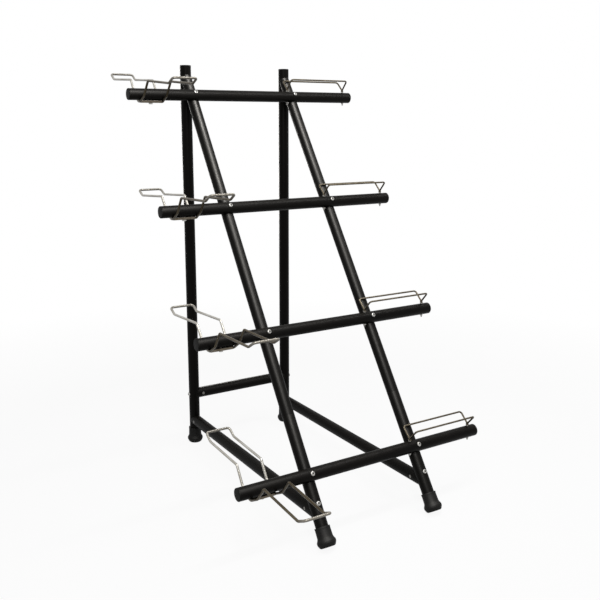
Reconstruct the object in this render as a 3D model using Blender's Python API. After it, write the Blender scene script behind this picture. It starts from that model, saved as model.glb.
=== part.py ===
"""Four tier stepped display stand, modelled as its separate steel, rubber and wire pieces.

Metres, +Z up. Two upright posts stand at the back and two legs lean against them from the front. Four bars
cross the legs like steps. Each bar carries a wire cradle on the left, where a load's rear end rests, and a
wire trough on the right, which holds its front end upright.
"""

import math

import bmesh
import bpy
from mathutils import Matrix, Vector

# Main frame
TUBE_OD = 0.040
TUBE_WALL = 0.002
LEG_SPACING = 0.415
STAND_HEIGHT = 1.450
POST_ABOVE_LEGS = 0.0395
LEG_TILT = math.radians(34.0)
CROSSBAR_HEIGHT = 0.199
RAIL_HEIGHT = 0.093

# Display bars. Places along the legs are distances from the point where leg and post axes meet
FIRST_BAR_AT = 0.0964
LAST_BAR_ABOVE_RAIL = 0.1126
BAR_LENGTH = 0.924
BAR_SHIFT = 0.007
SPLICE_ABOVE_LAST_BAR = 0.192
SPLICE_LENGTH = 0.120

# Caps and feet
CAP_THICKNESS = 0.003
CAP_EDGE = 0.0015
CAP_PLUG = 0.015
FOOT_HEIGHT = 0.060
FOOT_SOLE = 0.008
FOOT_WALL = 0.0032
FOOT_FLARE = 0.0008
FOOT_SHOULDER_HEIGHT = 0.028
FOOT_RIM_BULGE = 0.0059
FOOT_RIM_HEIGHT = 0.016
FOOT_RIM_LAND = 0.004
FOOT_BASE_INSET = 0.0025
FOOT_EDGE_HEIGHT = 0.004
FOOT_FLAT = 0.002

# Bolts
BOLT_DIAMETER = 0.008
BOLT_HEAD_DIAMETER = 0.0145
BOLT_HEAD_HEIGHT = 0.0046
BOLT_HEAD_RIM = 0.0014
NUT_ACROSS_FLATS = 0.013
NUT_HEIGHT = 0.0065
THREAD_END = 0.003
BARREL_DIAMETER = 0.011
BARREL_BEYOND_POST = 0.012
BARREL_BEYOND_LEG = 0.0225
INSERT_DIAMETER = 0.012
INSERT_LENGTH = 0.012

# Wire cradles. Profile points are (reach from the bar's axis, height over it)
CRADLE_ROD = 0.008
CRADLE_INSET = 0.083
CRADLE_WIDTH = 0.082
CRADLE_BASE_REACH = 0.009
CRADLE_ELBOW = (0.046, -0.002)
CRADLE_KNEE = (0.082, 0.047)
CRADLE_KINK = (0.262, 0.044)
CRADLE_TIP = (0.294, 0.062)
CRADLE_BASE_BEND = 0.012
CRADLE_ELBOW_BEND = 0.015
CRADLE_KNEE_BEND = 0.009
CRADLE_KINK_BEND = 0.020
CRADLE_TIP_BEND = 0.010
STRIP_WIDTH = 0.024

# Degrees that each cradle is turned on its bar, rear upwards, from the top bar down
CRADLE_TILTS = (4.0, -2.5, -2.0, 3.0)

# Wire troughs
TROUGH_ROD = 0.006
TROUGH_INSET = 0.030
TROUGH_HALF_WIDTH = 0.0325
TROUGH_TOP = 0.062
TROUGH_NECK = 0.031
TROUGH_TILT = math.radians(2.5)
TROUGH_BEND = 0.009
TROUGH_NECK_BEND = 0.006
STUD_DIAMETER = 0.005
STUD_COLLAR_DIAMETER = 0.009
STUD_COLLAR_HEIGHT = 0.004
STUD_NUT_ACROSS_FLATS = 0.008
STUD_NUT_HEIGHT = 0.004
STUD_END = 0.0055

# Fits
GAP = 0.0003
HOLE_CLEARANCE = 0.0003
WELD_SINK = 0.0015
WELD_LAP = 0.0012
COPE_TRIM = 0.006

# Facets
TUBE_SIDES = 16
BOLT_SIDES = 12
BARREL_SIDES = 8
STUD_SIDES = 6
HOLE_SIDES = 8
ROD_FACETS = 2
DOME_STEPS = 2
BEND_STEP = math.radians(46.0)
SHARP_ANGLE = math.radians(40.0)

TUBE_RADIUS = TUBE_OD / 2
BORE_RADIUS = TUBE_RADIUS - TUBE_WALL
BOLT_RADIUS = BOLT_DIAMETER / 2
BARREL_RADIUS = BARREL_DIAMETER / 2
SEAT = TUBE_RADIUS + GAP
BAR_SET = TUBE_RADIUS
LEG_X = LEG_SPACING / 2
LEG_APEX_HEIGHT = STAND_HEIGHT - POST_ABOVE_LEGS
FOOT_SLEEVE_RADIUS = SEAT + FOOT_WALL
FOOT_BASE_RADIUS = FOOT_SLEEVE_RADIUS - FOOT_BASE_INSET
BARREL_INSET = TUBE_RADIUS + BARREL_BEYOND_POST
RAIL_BARREL_INSET = TUBE_RADIUS / math.cos(LEG_TILT) + BARREL_BEYOND_LEG

AXIS_X = Vector((1, 0, 0))
AXIS_Y = Vector((0, 1, 0))
AXIS_Z = Vector((0, 0, 1))
LEG_DOWN = Vector((0, -math.sin(LEG_TILT), -math.cos(LEG_TILT)))
LEG_FRONT = Vector((0, -math.cos(LEG_TILT), math.sin(LEG_TILT)))
SIDES = (("left", -1), ("right", 1))

# Colour, roughness and metallic value of each finish
FINISHES = {
    "black_powder_coat": ((0.020, 0.019, 0.018), 0.42, 0.0),
    "black_plastic": ((0.016, 0.016, 0.016), 0.50, 0.0),
    "black_rubber": ((0.014, 0.014, 0.013), 0.70, 0.0),
    "bright_steel_wire": ((0.56, 0.54, 0.49), 0.22, 1.0),
    "zinc_fasteners": ((0.78, 0.78, 0.77), 0.30, 1.0),
}


def clear_scene():
    """Remove every object, so that the stand is alone in the file."""
    for obj in list(bpy.data.objects):
        bpy.data.objects.remove(obj, do_unlink=True)


def finish(name):
    """Return the named material, made on first use."""
    found = bpy.data.materials.get(name)
    if found:
        return found
    colour, roughness, metallic = FINISHES[name]
    material = bpy.data.materials.new(name)
    material.use_nodes = True
    shader = material.node_tree.nodes["Principled BSDF"]
    shader.inputs["Base Color"].default_value = (*colour, 1.0)
    shader.inputs["Roughness"].default_value = roughness
    shader.inputs["Metallic"].default_value = metallic
    material.diffuse_color = (*colour, 1.0)
    return material


def facing(axis, side=AXIS_X):
    """Rotation whose local Z runs along axis and whose local X lies as near as possible to side."""
    along = axis.normalized()
    if abs(along.dot(side)) > 0.99:
        side = AXIS_Y
    across = (side - along * side.dot(along)).normalized()
    return Matrix((across, along.cross(across), along)).transposed()


def add(name, mesh, place, rotation, root, material=None):
    """Link one object under root, at place, turned by rotation."""
    obj = bpy.data.objects.new(name, mesh)
    bpy.context.scene.collection.objects.link(obj)
    obj.location = place
    obj.rotation_euler = rotation.to_euler()
    obj.parent = root
    if material:
        mesh.materials.clear()
        mesh.materials.append(finish(material))
        mesh.shade_smooth()
        mesh.set_sharp_from_angle(angle=SHARP_ANGLE)
    else:
        obj.hide_render = True
        obj.display_type = "WIRE"
    return obj


def combine(obj, tools, operation="DIFFERENCE"):
    """Cut each tool from obj, or unite it with obj, in turn."""
    for tool in tools:
        step = obj.modifiers.new(operation.title() + " " + tool.name, "BOOLEAN")
        step.operation = operation
        step.solver = "EXACT"
        step.object = tool


def ring_radius(radius, angle, hexagonal):
    """Radius at an angle of a circle, or of a hexagon with that radius to its flats."""
    if not hexagonal:
        return radius
    from_flat = angle % (math.pi / 3) - math.pi / 6
    return radius / math.cos(from_flat)


def lathe(name, outline, sides, closed=False):
    """Mesh turned about Z from (radius, height) points, or (radius to flats, height, True) for a hexagon.

    A closed outline makes a ring, such as a tube. An open one starts and ends on the axis.
    """
    bm = bmesh.new()
    rings = []
    for radius, height, *hexagonal in outline:
        if radius == 0:
            rings.append([bm.verts.new((0, 0, height))])
            continue
        ring = []
        for i in range(sides):
            angle = 2 * math.pi * i / sides
            reach = ring_radius(radius, angle, bool(hexagonal))
            ring.append(bm.verts.new((reach * math.cos(angle), reach * math.sin(angle), height)))
        rings.append(ring)
    pairs = list(zip(rings, rings[1:]))
    if closed:
        pairs.append((rings[-1], rings[0]))
    for lower, upper in pairs:
        for i in range(sides):
            j = (i + 1) % sides
            below = [lower[i % len(lower)], lower[j % len(lower)]]
            above = [upper[j % len(upper)], upper[i % len(upper)]]
            bm.faces.new(list(dict.fromkeys(below + above)))
    bmesh.ops.recalc_face_normals(bm, faces=bm.faces[:])
    mesh = bpy.data.meshes.new(name)
    bm.to_mesh(mesh)
    bm.free()
    return mesh


def tube_mesh(name, length, outer=TUBE_RADIUS, inner=BORE_RADIUS):
    """Open tube along Z from the origin."""
    outline = [(outer, 0), (outer, length), (inner, length), (inner, 0)]
    return lathe(name, outline, TUBE_SIDES, closed=True)


def rod_mesh(name, radius, start, end, sides):
    """Solid cylinder along Z."""
    return lathe(name, [(0, start), (radius, start), (radius, end), (0, end)], sides)


def box_mesh(name, size, centre):
    """Box of the given size about centre."""
    bm = bmesh.new()
    bmesh.ops.create_cube(bm, size=1.0, matrix=Matrix.Translation(centre) @ Matrix.Diagonal((*size, 1)))
    mesh = bpy.data.meshes.new(name)
    bm.to_mesh(mesh)
    bm.free()
    return mesh


def rounded_path(corners, bends, cyclic=False):
    """Points along straight runs joined by arcs, where bends gives the centreline radius at each corner."""
    count = len(corners)
    points = []
    for i, corner in enumerate(corners):
        if not cyclic and i in (0, count - 1):
            points.append(corner)
            continue
        arriving = (corner - corners[i - 1]).normalized()
        leaving = (corners[(i + 1) % count] - corner).normalized()
        turn = arriving.angle(leaving)
        reach = bends[i] * math.tan(turn / 2)
        start = corner - arriving * reach
        inward = (leaving - arriving * arriving.dot(leaving)).normalized()
        centre = start + inward * bends[i]
        steps = math.ceil(turn / BEND_STEP)
        for step in range(steps + 1):
            angle = turn * step / steps
            direction = arriving * math.sin(angle) - inward * math.cos(angle)
            points.append(centre + direction * bends[i])
    return points


def wire_mesh(name, points, radius, cyclic=False):
    """Round wire of the given radius along points, with capped ends where it isn't a loop."""
    curve = bpy.data.curves.new(name, "CURVE")
    curve.dimensions = "3D"
    curve.bevel_depth = radius
    curve.bevel_resolution = ROD_FACETS
    curve.use_fill_caps = not cyclic
    spline = curve.splines.new("POLY")
    spline.points.add(len(points) - 1)
    for slot, point in zip(spline.points, points):
        slot.co = (*point, 1.0)
    spline.use_cyclic_u = cyclic
    guide = bpy.data.objects.new(name, curve)
    bpy.context.scene.collection.objects.link(guide)
    bpy.context.view_layer.update()
    evaluated = guide.evaluated_get(bpy.context.evaluated_depsgraph_get())
    mesh = bpy.data.meshes.new_from_object(evaluated)
    mesh.name = name
    bpy.data.objects.remove(guide, do_unlink=True)
    return mesh


def leg_point(side, distance):
    """Point on a leg's axis, at a distance down from where it meets the post's axis."""
    return Vector((side * LEG_X, 0, LEG_APEX_HEIGHT)) + LEG_DOWN * distance


def leg_distance(height):
    """Distance down the leg at which its axis is at a height."""
    return (LEG_APEX_HEIGHT - height) / math.cos(LEG_TILT)


def bar_distances():
    """Distances down the leg of the evenly spaced bars."""
    last = leg_distance(RAIL_HEIGHT) - LAST_BAR_ABOVE_RAIL
    pitch = (last - FIRST_BAR_AT) / (len(CRADLE_TILTS) - 1)
    return [FIRST_BAR_AT + pitch * index for index in range(len(CRADLE_TILTS))]


def bar_centre(distance):
    """Point midway between the legs on the axis of the bar that crosses them at a distance."""
    return leg_point(0, distance) + LEG_FRONT * BAR_SET


def foot_seat():
    """Distance down the leg to the bottom of its foot, which is pressed flat where it meets the floor."""
    return leg_distance(FOOT_BASE_RADIUS * math.sin(LEG_TILT) - FOOT_FLAT)


def cap_mesh(name):
    """Push-in end cap: a plug in the bore and a flange with a rounded edge over the tube's end."""
    plug = BORE_RADIUS - GAP
    outline = [(0, -CAP_PLUG), (plug, -CAP_PLUG), (plug, GAP), (TUBE_RADIUS, GAP)]
    outline += [(TUBE_RADIUS, CAP_THICKNESS - CAP_EDGE), (TUBE_RADIUS - CAP_EDGE, CAP_THICKNESS)]
    outline.append((0, CAP_THICKNESS))
    return lathe(name, outline, TUBE_SIDES)


def foot_mesh(name):
    """Rubber ferrule, open at the top, with a bulged rim above its base."""
    rim = FOOT_SLEEVE_RADIUS + FOOT_RIM_BULGE
    edge = (FOOT_BASE_RADIUS + rim) / 2
    outline = [(0, 0), (FOOT_BASE_RADIUS, 0), (edge, FOOT_EDGE_HEIGHT)]
    outline += [(rim, FOOT_RIM_HEIGHT - FOOT_RIM_LAND / 2), (rim, FOOT_RIM_HEIGHT + FOOT_RIM_LAND / 2)]
    outline += [(FOOT_SLEEVE_RADIUS + FOOT_FLARE, FOOT_SHOULDER_HEIGHT), (FOOT_SLEEVE_RADIUS, FOOT_HEIGHT)]
    outline += [(SEAT, FOOT_HEIGHT), (SEAT, FOOT_SOLE), (0, FOOT_SOLE)]
    return lathe(name, outline, TUBE_SIDES)


def head_outline(base):
    """Domed bolt head whose flat underside is at base, read from the shank to the crown."""
    radius = BOLT_HEAD_DIAMETER / 2
    outline = [(BOLT_RADIUS, base), (radius, base)]
    for step in range(DOME_STEPS):
        angle = math.pi / 2 * step / DOME_STEPS
        height = BOLT_HEAD_RIM + (BOLT_HEAD_HEIGHT - BOLT_HEAD_RIM) * math.sin(angle)
        outline.append((radius * math.cos(angle), base + height))
    return outline + [(0, base + BOLT_HEAD_HEIGHT)]


def nut_outline(base, flats, height, thread, shank):
    """Hexagon nut hanging down from base on a threaded end, read from the thread's tip to the shank."""
    tip = base - height - thread
    outline = [(0, tip), (shank, tip), (shank, base - height), (flats / 2, base - height, True)]
    outline += [(flats / 2, base, True), (shank, base)]
    return outline


def build_clearances(root):
    """Cutters a fit clearance larger than the posts and legs, which shape whatever butts or laps them."""
    cutters = {}
    for word, side in SIDES:
        post = rod_mesh("post_clearance", SEAT, -FOOT_HEIGHT, STAND_HEIGHT + FOOT_HEIGHT, TUBE_SIDES)
        foot = Vector((side * LEG_X, 0, 0))
        cutters["post", word] = add("clear_post_" + word, post, foot, facing(AXIS_Z), root)
        leg = rod_mesh("leg_clearance", SEAT, 0, foot_seat(), TUBE_SIDES)
        cutters["leg", word] = add("clear_leg_" + word, leg, leg_point(side, 0), facing(LEG_DOWN), root)
    return cutters


def hole_mesh(name, radius, start, end):
    """Cutter for a hole whose flats clear a shank of the given radius."""
    return rod_mesh(name, (radius + HOLE_CLEARANCE) / math.cos(math.pi / HOLE_SIDES), start, end, HOLE_SIDES)


def bolt_clearance(name, start, axis, length, root):
    """Hole for a bolt, from start along axis."""
    return add("clear_" + name, hole_mesh(name, BOLT_RADIUS, 0, length), start, facing(axis), root)


def build_barrel_bolt(name, seat, axis, barrel_axis, length, root):
    """Bolt whose head sits at seat and whose thread ends in a barrel nut, length along axis from seat.

    Returns the bolt's hole and the barrel's hole.
    """
    outline = [(0, -length), (BOLT_RADIUS, -length)] + head_outline(GAP)
    bolt = add(name, lathe(name, outline, BARREL_SIDES), seat, facing(-axis), root, "zinc_fasteners")
    half = math.sqrt(TUBE_RADIUS ** 2 - BARREL_RADIUS ** 2)
    turn = facing(barrel_axis, axis)
    barrel_mesh = rod_mesh("barrel", BARREL_RADIUS, -half, half, BARREL_SIDES)
    centre = seat + axis * length
    barrel = add("join_barrel_" + name, barrel_mesh, centre, turn, root)
    combine(bolt, [barrel], "UNION")
    hole = hole_mesh("barrel_hole", BARREL_RADIUS, -TUBE_OD, TUBE_OD)
    barrel_hole = add("clear_barrel_" + name, hole, centre, turn, root)
    start = seat - axis * TUBE_RADIUS
    bolt_hole = bolt_clearance(name, start, axis, length + TUBE_RADIUS, root)
    return bolt_hole, barrel_hole


def build_posts(clear, root):
    """Posts with their caps and rear feet, and the crossbar, rails and bolts that join them to the legs."""
    for word, side in SIDES:
        base = Vector((side * LEG_X, 0, 0))
        inward = AXIS_X * -side
        length = STAND_HEIGHT - CAP_THICKNESS - FOOT_SOLE - GAP
        sole = base + AXIS_Z * (FOOT_SOLE + GAP)
        post = add("post_" + word, tube_mesh("post", length), sole, facing(AXIS_Z), root, "black_powder_coat")
        cap_place = base + AXIS_Z * (STAND_HEIGHT - CAP_THICKNESS)
        add("post_cap_" + word, cap_mesh("post_cap"), cap_place, facing(AXIS_Z), root, "black_plastic")
        add("foot_rear_" + word, foot_mesh("foot"), base, facing(AXIS_Z), root, "black_rubber")
        across = base + AXIS_Z * CROSSBAR_HEIGHT - inward * TUBE_RADIUS
        reach = TUBE_RADIUS + BARREL_INSET
        holes = build_barrel_bolt("crossbar_bolt_" + word, across, inward, AXIS_Y, reach, root)
        clear["crossbar", word] = holes
        behind = base + AXIS_Z * RAIL_HEIGHT + AXIS_Y * TUBE_RADIUS
        rail_holes = build_barrel_bolt("rail_rear_bolt_" + word, behind, -AXIS_Y, AXIS_X, reach, root)
        clear["rail_rear", word] = rail_holes
        top = leg_point(side, BARREL_INSET / math.sin(LEG_TILT))
        top.y = TUBE_RADIUS
        top_holes = build_barrel_bolt("leg_top_bolt_" + word, top, -AXIS_Y, AXIS_X, reach, root)
        clear["leg_top", word] = top_holes
        combine(post, [holes[0], rail_holes[0], top_holes[0]])


def build_crossbar(clear, root):
    """Low tube between the posts, coped against both."""
    start = Vector((COPE_TRIM - LEG_X, 0, CROSSBAR_HEIGHT))
    mesh = tube_mesh("crossbar", LEG_SPACING - 2 * COPE_TRIM)
    bar = add("crossbar", mesh, start, facing(AXIS_X, AXIS_Z), root, "black_powder_coat")
    for word, _ in SIDES:
        combine(bar, [clear["post", word], clear["crossbar", word][1]])


def build_rails(clear, root):
    """Low tubes from each post forward to its leg, coped against both."""
    crossing = leg_distance(RAIL_HEIGHT)
    for word, side in SIDES:
        front = leg_point(side, crossing)
        rail_mesh = tube_mesh("base_rail", -front.y - 2 * COPE_TRIM)
        rail = add("base_rail_" + word, rail_mesh, front + AXIS_Y * COPE_TRIM, facing(AXIS_Y), root,
                   "black_powder_coat")
        barrel = front + AXIS_Y * RAIL_BARREL_INSET
        length = RAIL_BARREL_INSET * math.cos(LEG_TILT) + TUBE_RADIUS
        seat = barrel + LEG_FRONT * length
        holes = build_barrel_bolt("rail_front_bolt_" + word, seat, -LEG_FRONT, AXIS_X, length, root)
        clear["rail_front", word] = holes
        combine(rail, [clear["post", word], clear["leg", word], clear["rail_rear", word][1], holes[1]])


def build_bars(clear, root):
    """Return the bars, made with their end caps, saddle notches over the legs and bolts through both."""
    outer = BAR_LENGTH / 2 - CAP_THICKNESS
    grip = SEAT + BAR_SET + SEAT
    bars = []
    for index, distance in enumerate(bar_distances()):
        label = str(index + 1)
        middle = bar_centre(distance)
        centre = middle + AXIS_X * BAR_SHIFT
        bar = add("display_bar_" + label, tube_mesh("display_bar", 2 * outer), centre - AXIS_X * outer,
                  facing(AXIS_X, LEG_FRONT), root, "black_powder_coat")
        bars.append(bar)
        for word, side in SIDES:
            place = centre + AXIS_X * side * outer
            turn = facing(AXIS_X * side, LEG_FRONT)
            add("bar_cap_" + label + "_" + word, cap_mesh("bar_cap"), place, turn, root, "black_plastic")
            crest = middle + AXIS_X * side * LEG_X + LEG_FRONT * SEAT
            outline = nut_outline(-grip, NUT_ACROSS_FLATS, NUT_HEIGHT, THREAD_END, BOLT_RADIUS)
            outline += head_outline(0)
            name = "bar_bolt_" + label + "_" + word
            add(name, lathe(name, outline, BOLT_SIDES), crest, facing(LEG_FRONT), root, "zinc_fasteners")
            hole = bolt_clearance(name, crest + LEG_FRONT * TUBE_RADIUS, -LEG_FRONT, grip + TUBE_OD, root)
            clear["bar_bolt", index, word] = hole
            combine(bar, [clear["leg", word], hole])
    return bars


def build_legs(clear, root):
    """Legs in an upper and a lower length over an inner sleeve, with their front feet."""
    seat = foot_seat()
    end = seat - FOOT_SOLE - GAP
    splice = bar_distances()[-1] - SPLICE_ABOVE_LAST_BAR
    ground = box_mesh("ground", (STAND_HEIGHT,) * 3, Vector((0, leg_point(0, seat).y, -STAND_HEIGHT / 2)))
    floor = add("clear_floor", ground, Vector((0, 0, 0)), facing(AXIS_Z), root)
    for word, side in SIDES:
        turn = facing(LEG_DOWN)
        upper = add("leg_upper_" + word, tube_mesh("leg_upper", splice - GAP), leg_point(side, 0), turn, root,
                    "black_powder_coat")
        lower = add("leg_lower_" + word, tube_mesh("leg_lower", end - splice), leg_point(side, splice), turn,
                    root, "black_powder_coat")
        sleeve_outer = BORE_RADIUS - GAP
        sleeve_mesh = tube_mesh("leg_splice", SPLICE_LENGTH, sleeve_outer, sleeve_outer - TUBE_WALL)
        add("leg_splice_" + word, sleeve_mesh, leg_point(side, splice - SPLICE_LENGTH / 2), turn, root,
            "black_powder_coat")
        foot = add("foot_front_" + word, foot_mesh("foot"), leg_point(side, seat), facing(-LEG_DOWN), root,
                   "black_rubber")
        combine(foot, [floor])
        combine(upper, [clear["post", word], clear["leg_top", word][1]])
        for index, distance in enumerate(bar_distances()):
            combine(upper if distance < splice else lower, [clear["bar_bolt", index, word]])
        combine(lower, [clear["rail_front", word][0]])


def cradle_corners():
    """Corners and bend radii of the cradle's wire loop, round its left side to the rear and back."""
    half = CRADLE_WIDTH / 2
    under = -(SEAT + CRADLE_ROD / 2)
    arm = [(*CRADLE_TIP, CRADLE_TIP_BEND), (*CRADLE_KINK, CRADLE_KINK_BEND), (*CRADLE_KNEE, CRADLE_KNEE_BEND)]
    arm += [(*CRADLE_ELBOW, CRADLE_ELBOW_BEND), (CRADLE_BASE_REACH, under, CRADLE_BASE_BEND)]
    front_to_rear = [(-y, z, bend) for y, z, bend in arm] + arm[::-1]
    corners = [Vector((-half, y, z)) for y, z, _ in front_to_rear]
    corners += [Vector((half, y, z)) for y, z, _ in front_to_rear[::-1]]
    bends = [bend for _, _, bend in front_to_rear + front_to_rear[::-1]]
    return corners, bends


def build_cradle(index, distance, bar, root):
    """Wire loop bent down round the bar, with a flat tie between its wires and a bolt into the bar."""
    label = str(index + 1)
    turn = Matrix.Rotation(math.radians(CRADLE_TILTS[index]), 3, "X")
    centre = bar_centre(distance) + AXIS_X * (BAR_SHIFT - BAR_LENGTH / 2 + CRADLE_INSET)
    points = rounded_path(*cradle_corners(), cyclic=True)
    loop = wire_mesh("cradle", points, CRADLE_ROD / 2, cyclic=True)
    cradle = add("cradle_" + label, loop, centre, turn, root, "bright_steel_wire")
    under = SEAT + CRADLE_ROD
    size = (CRADLE_WIDTH, STRIP_WIDTH, CRADLE_ROD - GAP)
    strip_mesh = box_mesh("strip", size, -AXIS_Z * (under - CRADLE_ROD / 2))
    strip = add("join_strip_" + label, strip_mesh, centre, turn, root)
    insert = INSERT_DIAMETER / 2
    bore_flat = BORE_RADIUS * math.cos(math.pi / TUBE_SIDES)
    insert_base = GAP - math.sqrt(bore_flat ** 2 - insert ** 2)
    seat = -(under + GAP)
    flats = NUT_ACROSS_FLATS / 2
    outline = [(0, seat - BOLT_HEAD_HEIGHT), (flats, seat - BOLT_HEAD_HEIGHT, True), (flats, seat, True)]
    outline += [(BOLT_RADIUS, seat), (BOLT_RADIUS, insert_base), (insert, insert_base)]
    outline += [(insert, insert_base + INSERT_LENGTH), (0, insert_base + INSERT_LENGTH)]
    name = "cradle_bolt_" + label
    add(name, lathe(name, outline, STUD_SIDES), centre, turn, root, "zinc_fasteners")
    hole = bolt_clearance(name, centre, turn @ -AXIS_Z, under + TUBE_OD, root)
    combine(cradle, [strip], "UNION")
    combine(cradle, [hole])
    combine(bar, [hole])


def build_stud(label, place, turn, root):
    """Guide solid of a trough's stud, with its collar on the bar and its nut below."""
    radius = STUD_DIAMETER / 2
    outline = nut_outline(-SEAT, STUD_NUT_ACROSS_FLATS, STUD_NUT_HEIGHT, STUD_END, radius)
    collar = STUD_COLLAR_DIAMETER / 2
    crown = SEAT + STUD_COLLAR_HEIGHT
    outline += [(radius, SEAT), (collar, SEAT), (collar, crown), (0, crown)]
    return add("join_stud_" + label, lathe("stud", outline, STUD_SIDES), place, turn, root)


def trough_bow(name, front, stud_places):
    """One of the two wire bows: down into the first stud's collar, up, along and down into the second."""
    sign = -1 if front else 1
    neck = sign * (TROUGH_ROD - WELD_LAP) / 2
    profile = [(neck, SEAT + WELD_SINK, 0), (neck, TROUGH_NECK, TROUGH_NECK_BEND)]
    profile.append((sign * TROUGH_HALF_WIDTH, TROUGH_TOP, TROUGH_BEND))
    corners = []
    bends = []
    for x, run in zip(stud_places, (profile, profile[::-1])):
        corners += [Vector((x, y, z)) for y, z, _ in run]
        bends += [bend for _, _, bend in run]
    return wire_mesh(name, rounded_path(corners, bends), TROUGH_ROD / 2)


def build_trough(index, distance, bar, root):
    """Two wire bows that lean apart from a pair of studs through the bar."""
    label = str(index + 1)
    turn = Matrix.Rotation(-TROUGH_TILT, 3, "X")
    centre = bar_centre(distance)
    inner = LEG_X - TUBE_RADIUS - STUD_NUT_ACROSS_FLATS / 2 - GAP
    stud_places = (inner, BAR_SHIFT + BAR_LENGTH / 2 - TROUGH_INSET)
    mesh = trough_bow("trough", True, stud_places)
    trough = add("trough_" + label, mesh, centre, turn, root, "bright_steel_wire")
    rear = add("join_bow_" + label, trough_bow("rear_bow", False, stud_places), centre, turn, root)
    studs = []
    for number, x in enumerate(stud_places):
        place = centre + AXIS_X * x
        upright = turn @ facing(AXIS_Z, AXIS_Y)
        studs.append(build_stud(label + str(number), place, upright, root))
        cutter_mesh = hole_mesh("stud_hole", STUD_DIAMETER / 2, -TUBE_OD, TUBE_OD)
        hole = add("clear_stud_" + label + str(number), cutter_mesh, place, upright, root)
        combine(bar, [hole])
    combine(trough, [*studs, rear], "UNION")


def centre_on_floor(root):
    """Move the stand so that the middle of its bounding box's bottom is at the world origin."""
    bpy.context.view_layer.update()
    graph = bpy.context.evaluated_depsgraph_get()
    corners = []
    for obj in bpy.data.objects:
        if obj.type == "MESH" and not obj.hide_render:
            piece = obj.evaluated_get(graph)
            corners += [piece.matrix_world @ vertex.co for vertex in piece.data.vertices]
    low = Vector([min(corner[axis] for corner in corners) for axis in range(3)])
    high = Vector([max(corner[axis] for corner in corners) for axis in range(3)])
    middle = (low + high) / 2
    root.location = (-middle.x, -middle.y, -low.z)


def build_stand():
    """Build the whole stand in an empty scene."""
    clear_scene()
    root = bpy.data.objects.new("stand", None)
    bpy.context.scene.collection.objects.link(root)
    clear = build_clearances(root)
    build_posts(clear, root)
    build_crossbar(clear, root)
    build_rails(clear, root)
    bars = build_bars(clear, root)
    build_legs(clear, root)
    for index, distance in enumerate(bar_distances()):
        build_cradle(index, distance, bars[index], root)
        build_trough(index, distance, bars[index], root)
    centre_on_floor(root)


build_stand()
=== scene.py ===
"""Looks of a four tier display stand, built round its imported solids."""

import logging
import math
from collections.abc import Callable, Iterable, Sequence
from dataclasses import dataclass
from enum import Enum

import bmesh
import bpy
from mathutils import Matrix, Vector


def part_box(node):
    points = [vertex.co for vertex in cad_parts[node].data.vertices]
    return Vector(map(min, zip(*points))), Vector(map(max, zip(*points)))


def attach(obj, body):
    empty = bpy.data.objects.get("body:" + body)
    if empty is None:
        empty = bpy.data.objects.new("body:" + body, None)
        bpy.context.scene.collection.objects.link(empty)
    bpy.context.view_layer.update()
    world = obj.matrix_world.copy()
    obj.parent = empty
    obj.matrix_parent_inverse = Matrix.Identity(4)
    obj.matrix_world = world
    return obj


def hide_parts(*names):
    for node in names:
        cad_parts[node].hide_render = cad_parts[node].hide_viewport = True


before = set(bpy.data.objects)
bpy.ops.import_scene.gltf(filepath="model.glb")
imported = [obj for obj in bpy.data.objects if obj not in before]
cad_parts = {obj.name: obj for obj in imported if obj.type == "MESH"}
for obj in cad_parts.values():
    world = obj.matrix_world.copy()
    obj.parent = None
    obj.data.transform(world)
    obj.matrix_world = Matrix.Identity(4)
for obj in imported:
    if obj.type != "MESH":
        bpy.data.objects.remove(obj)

LOG = logging.getLogger("display_stand")
BODY = "root"
AXIS_X = Vector((1, 0, 0))
AXIS_Y = Vector((0, 1, 0))
AXIS_Z = Vector((0, 0, 1))
SIDES = (("left", -1), ("right", 1))

TUBE_SIDES = 96
ROUND_SIDES = 72
BOLT_SIDES = 48
WIRE_SIDES = 28
ARC_STEP = math.radians(7.0)
SHARP_ANGLE = math.radians(32.0)
STRAIGHT_TURN = 1e-6
NEARLY_PARALLEL = 0.99
# Cutters are turned by this much, so that none of their facets lies on a facet of the tube they cut.
OFF_FACETS = Matrix.Rotation(0.0137, 4, "Z")
# Attribute of painted shade: in fastener sockets, crevices and recesses, and as painted dark reflection on
# wires.
PAINTED_SHADE = "grime"
WIRE_PLACE = "wire_place"

Colour = tuple[float, float, float]
Outline = list[tuple]
Material = bpy.types.Material
Mesh = bpy.types.Mesh
Node = bpy.types.Node
Object = bpy.types.Object
Socket = bpy.types.NodeSocket
Tree = bpy.types.NodeTree


class Slot(Enum):
    """Material slots of the record."""

    COAT = "black_powder_coat"
    PLASTIC = "black_plastic"
    RUBBER = "black_rubber"
    WIRE = "bright_steel_wire"
    ZINC = "zinc_fasteners"


class Ring(Enum):
    """Cross-sections that a row of a turned outline can have."""

    ROUND = "round"
    HEXAGON = "hexagon"
    CHAMFERED = "hexagon inside a circle"


# Node sketching


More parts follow.
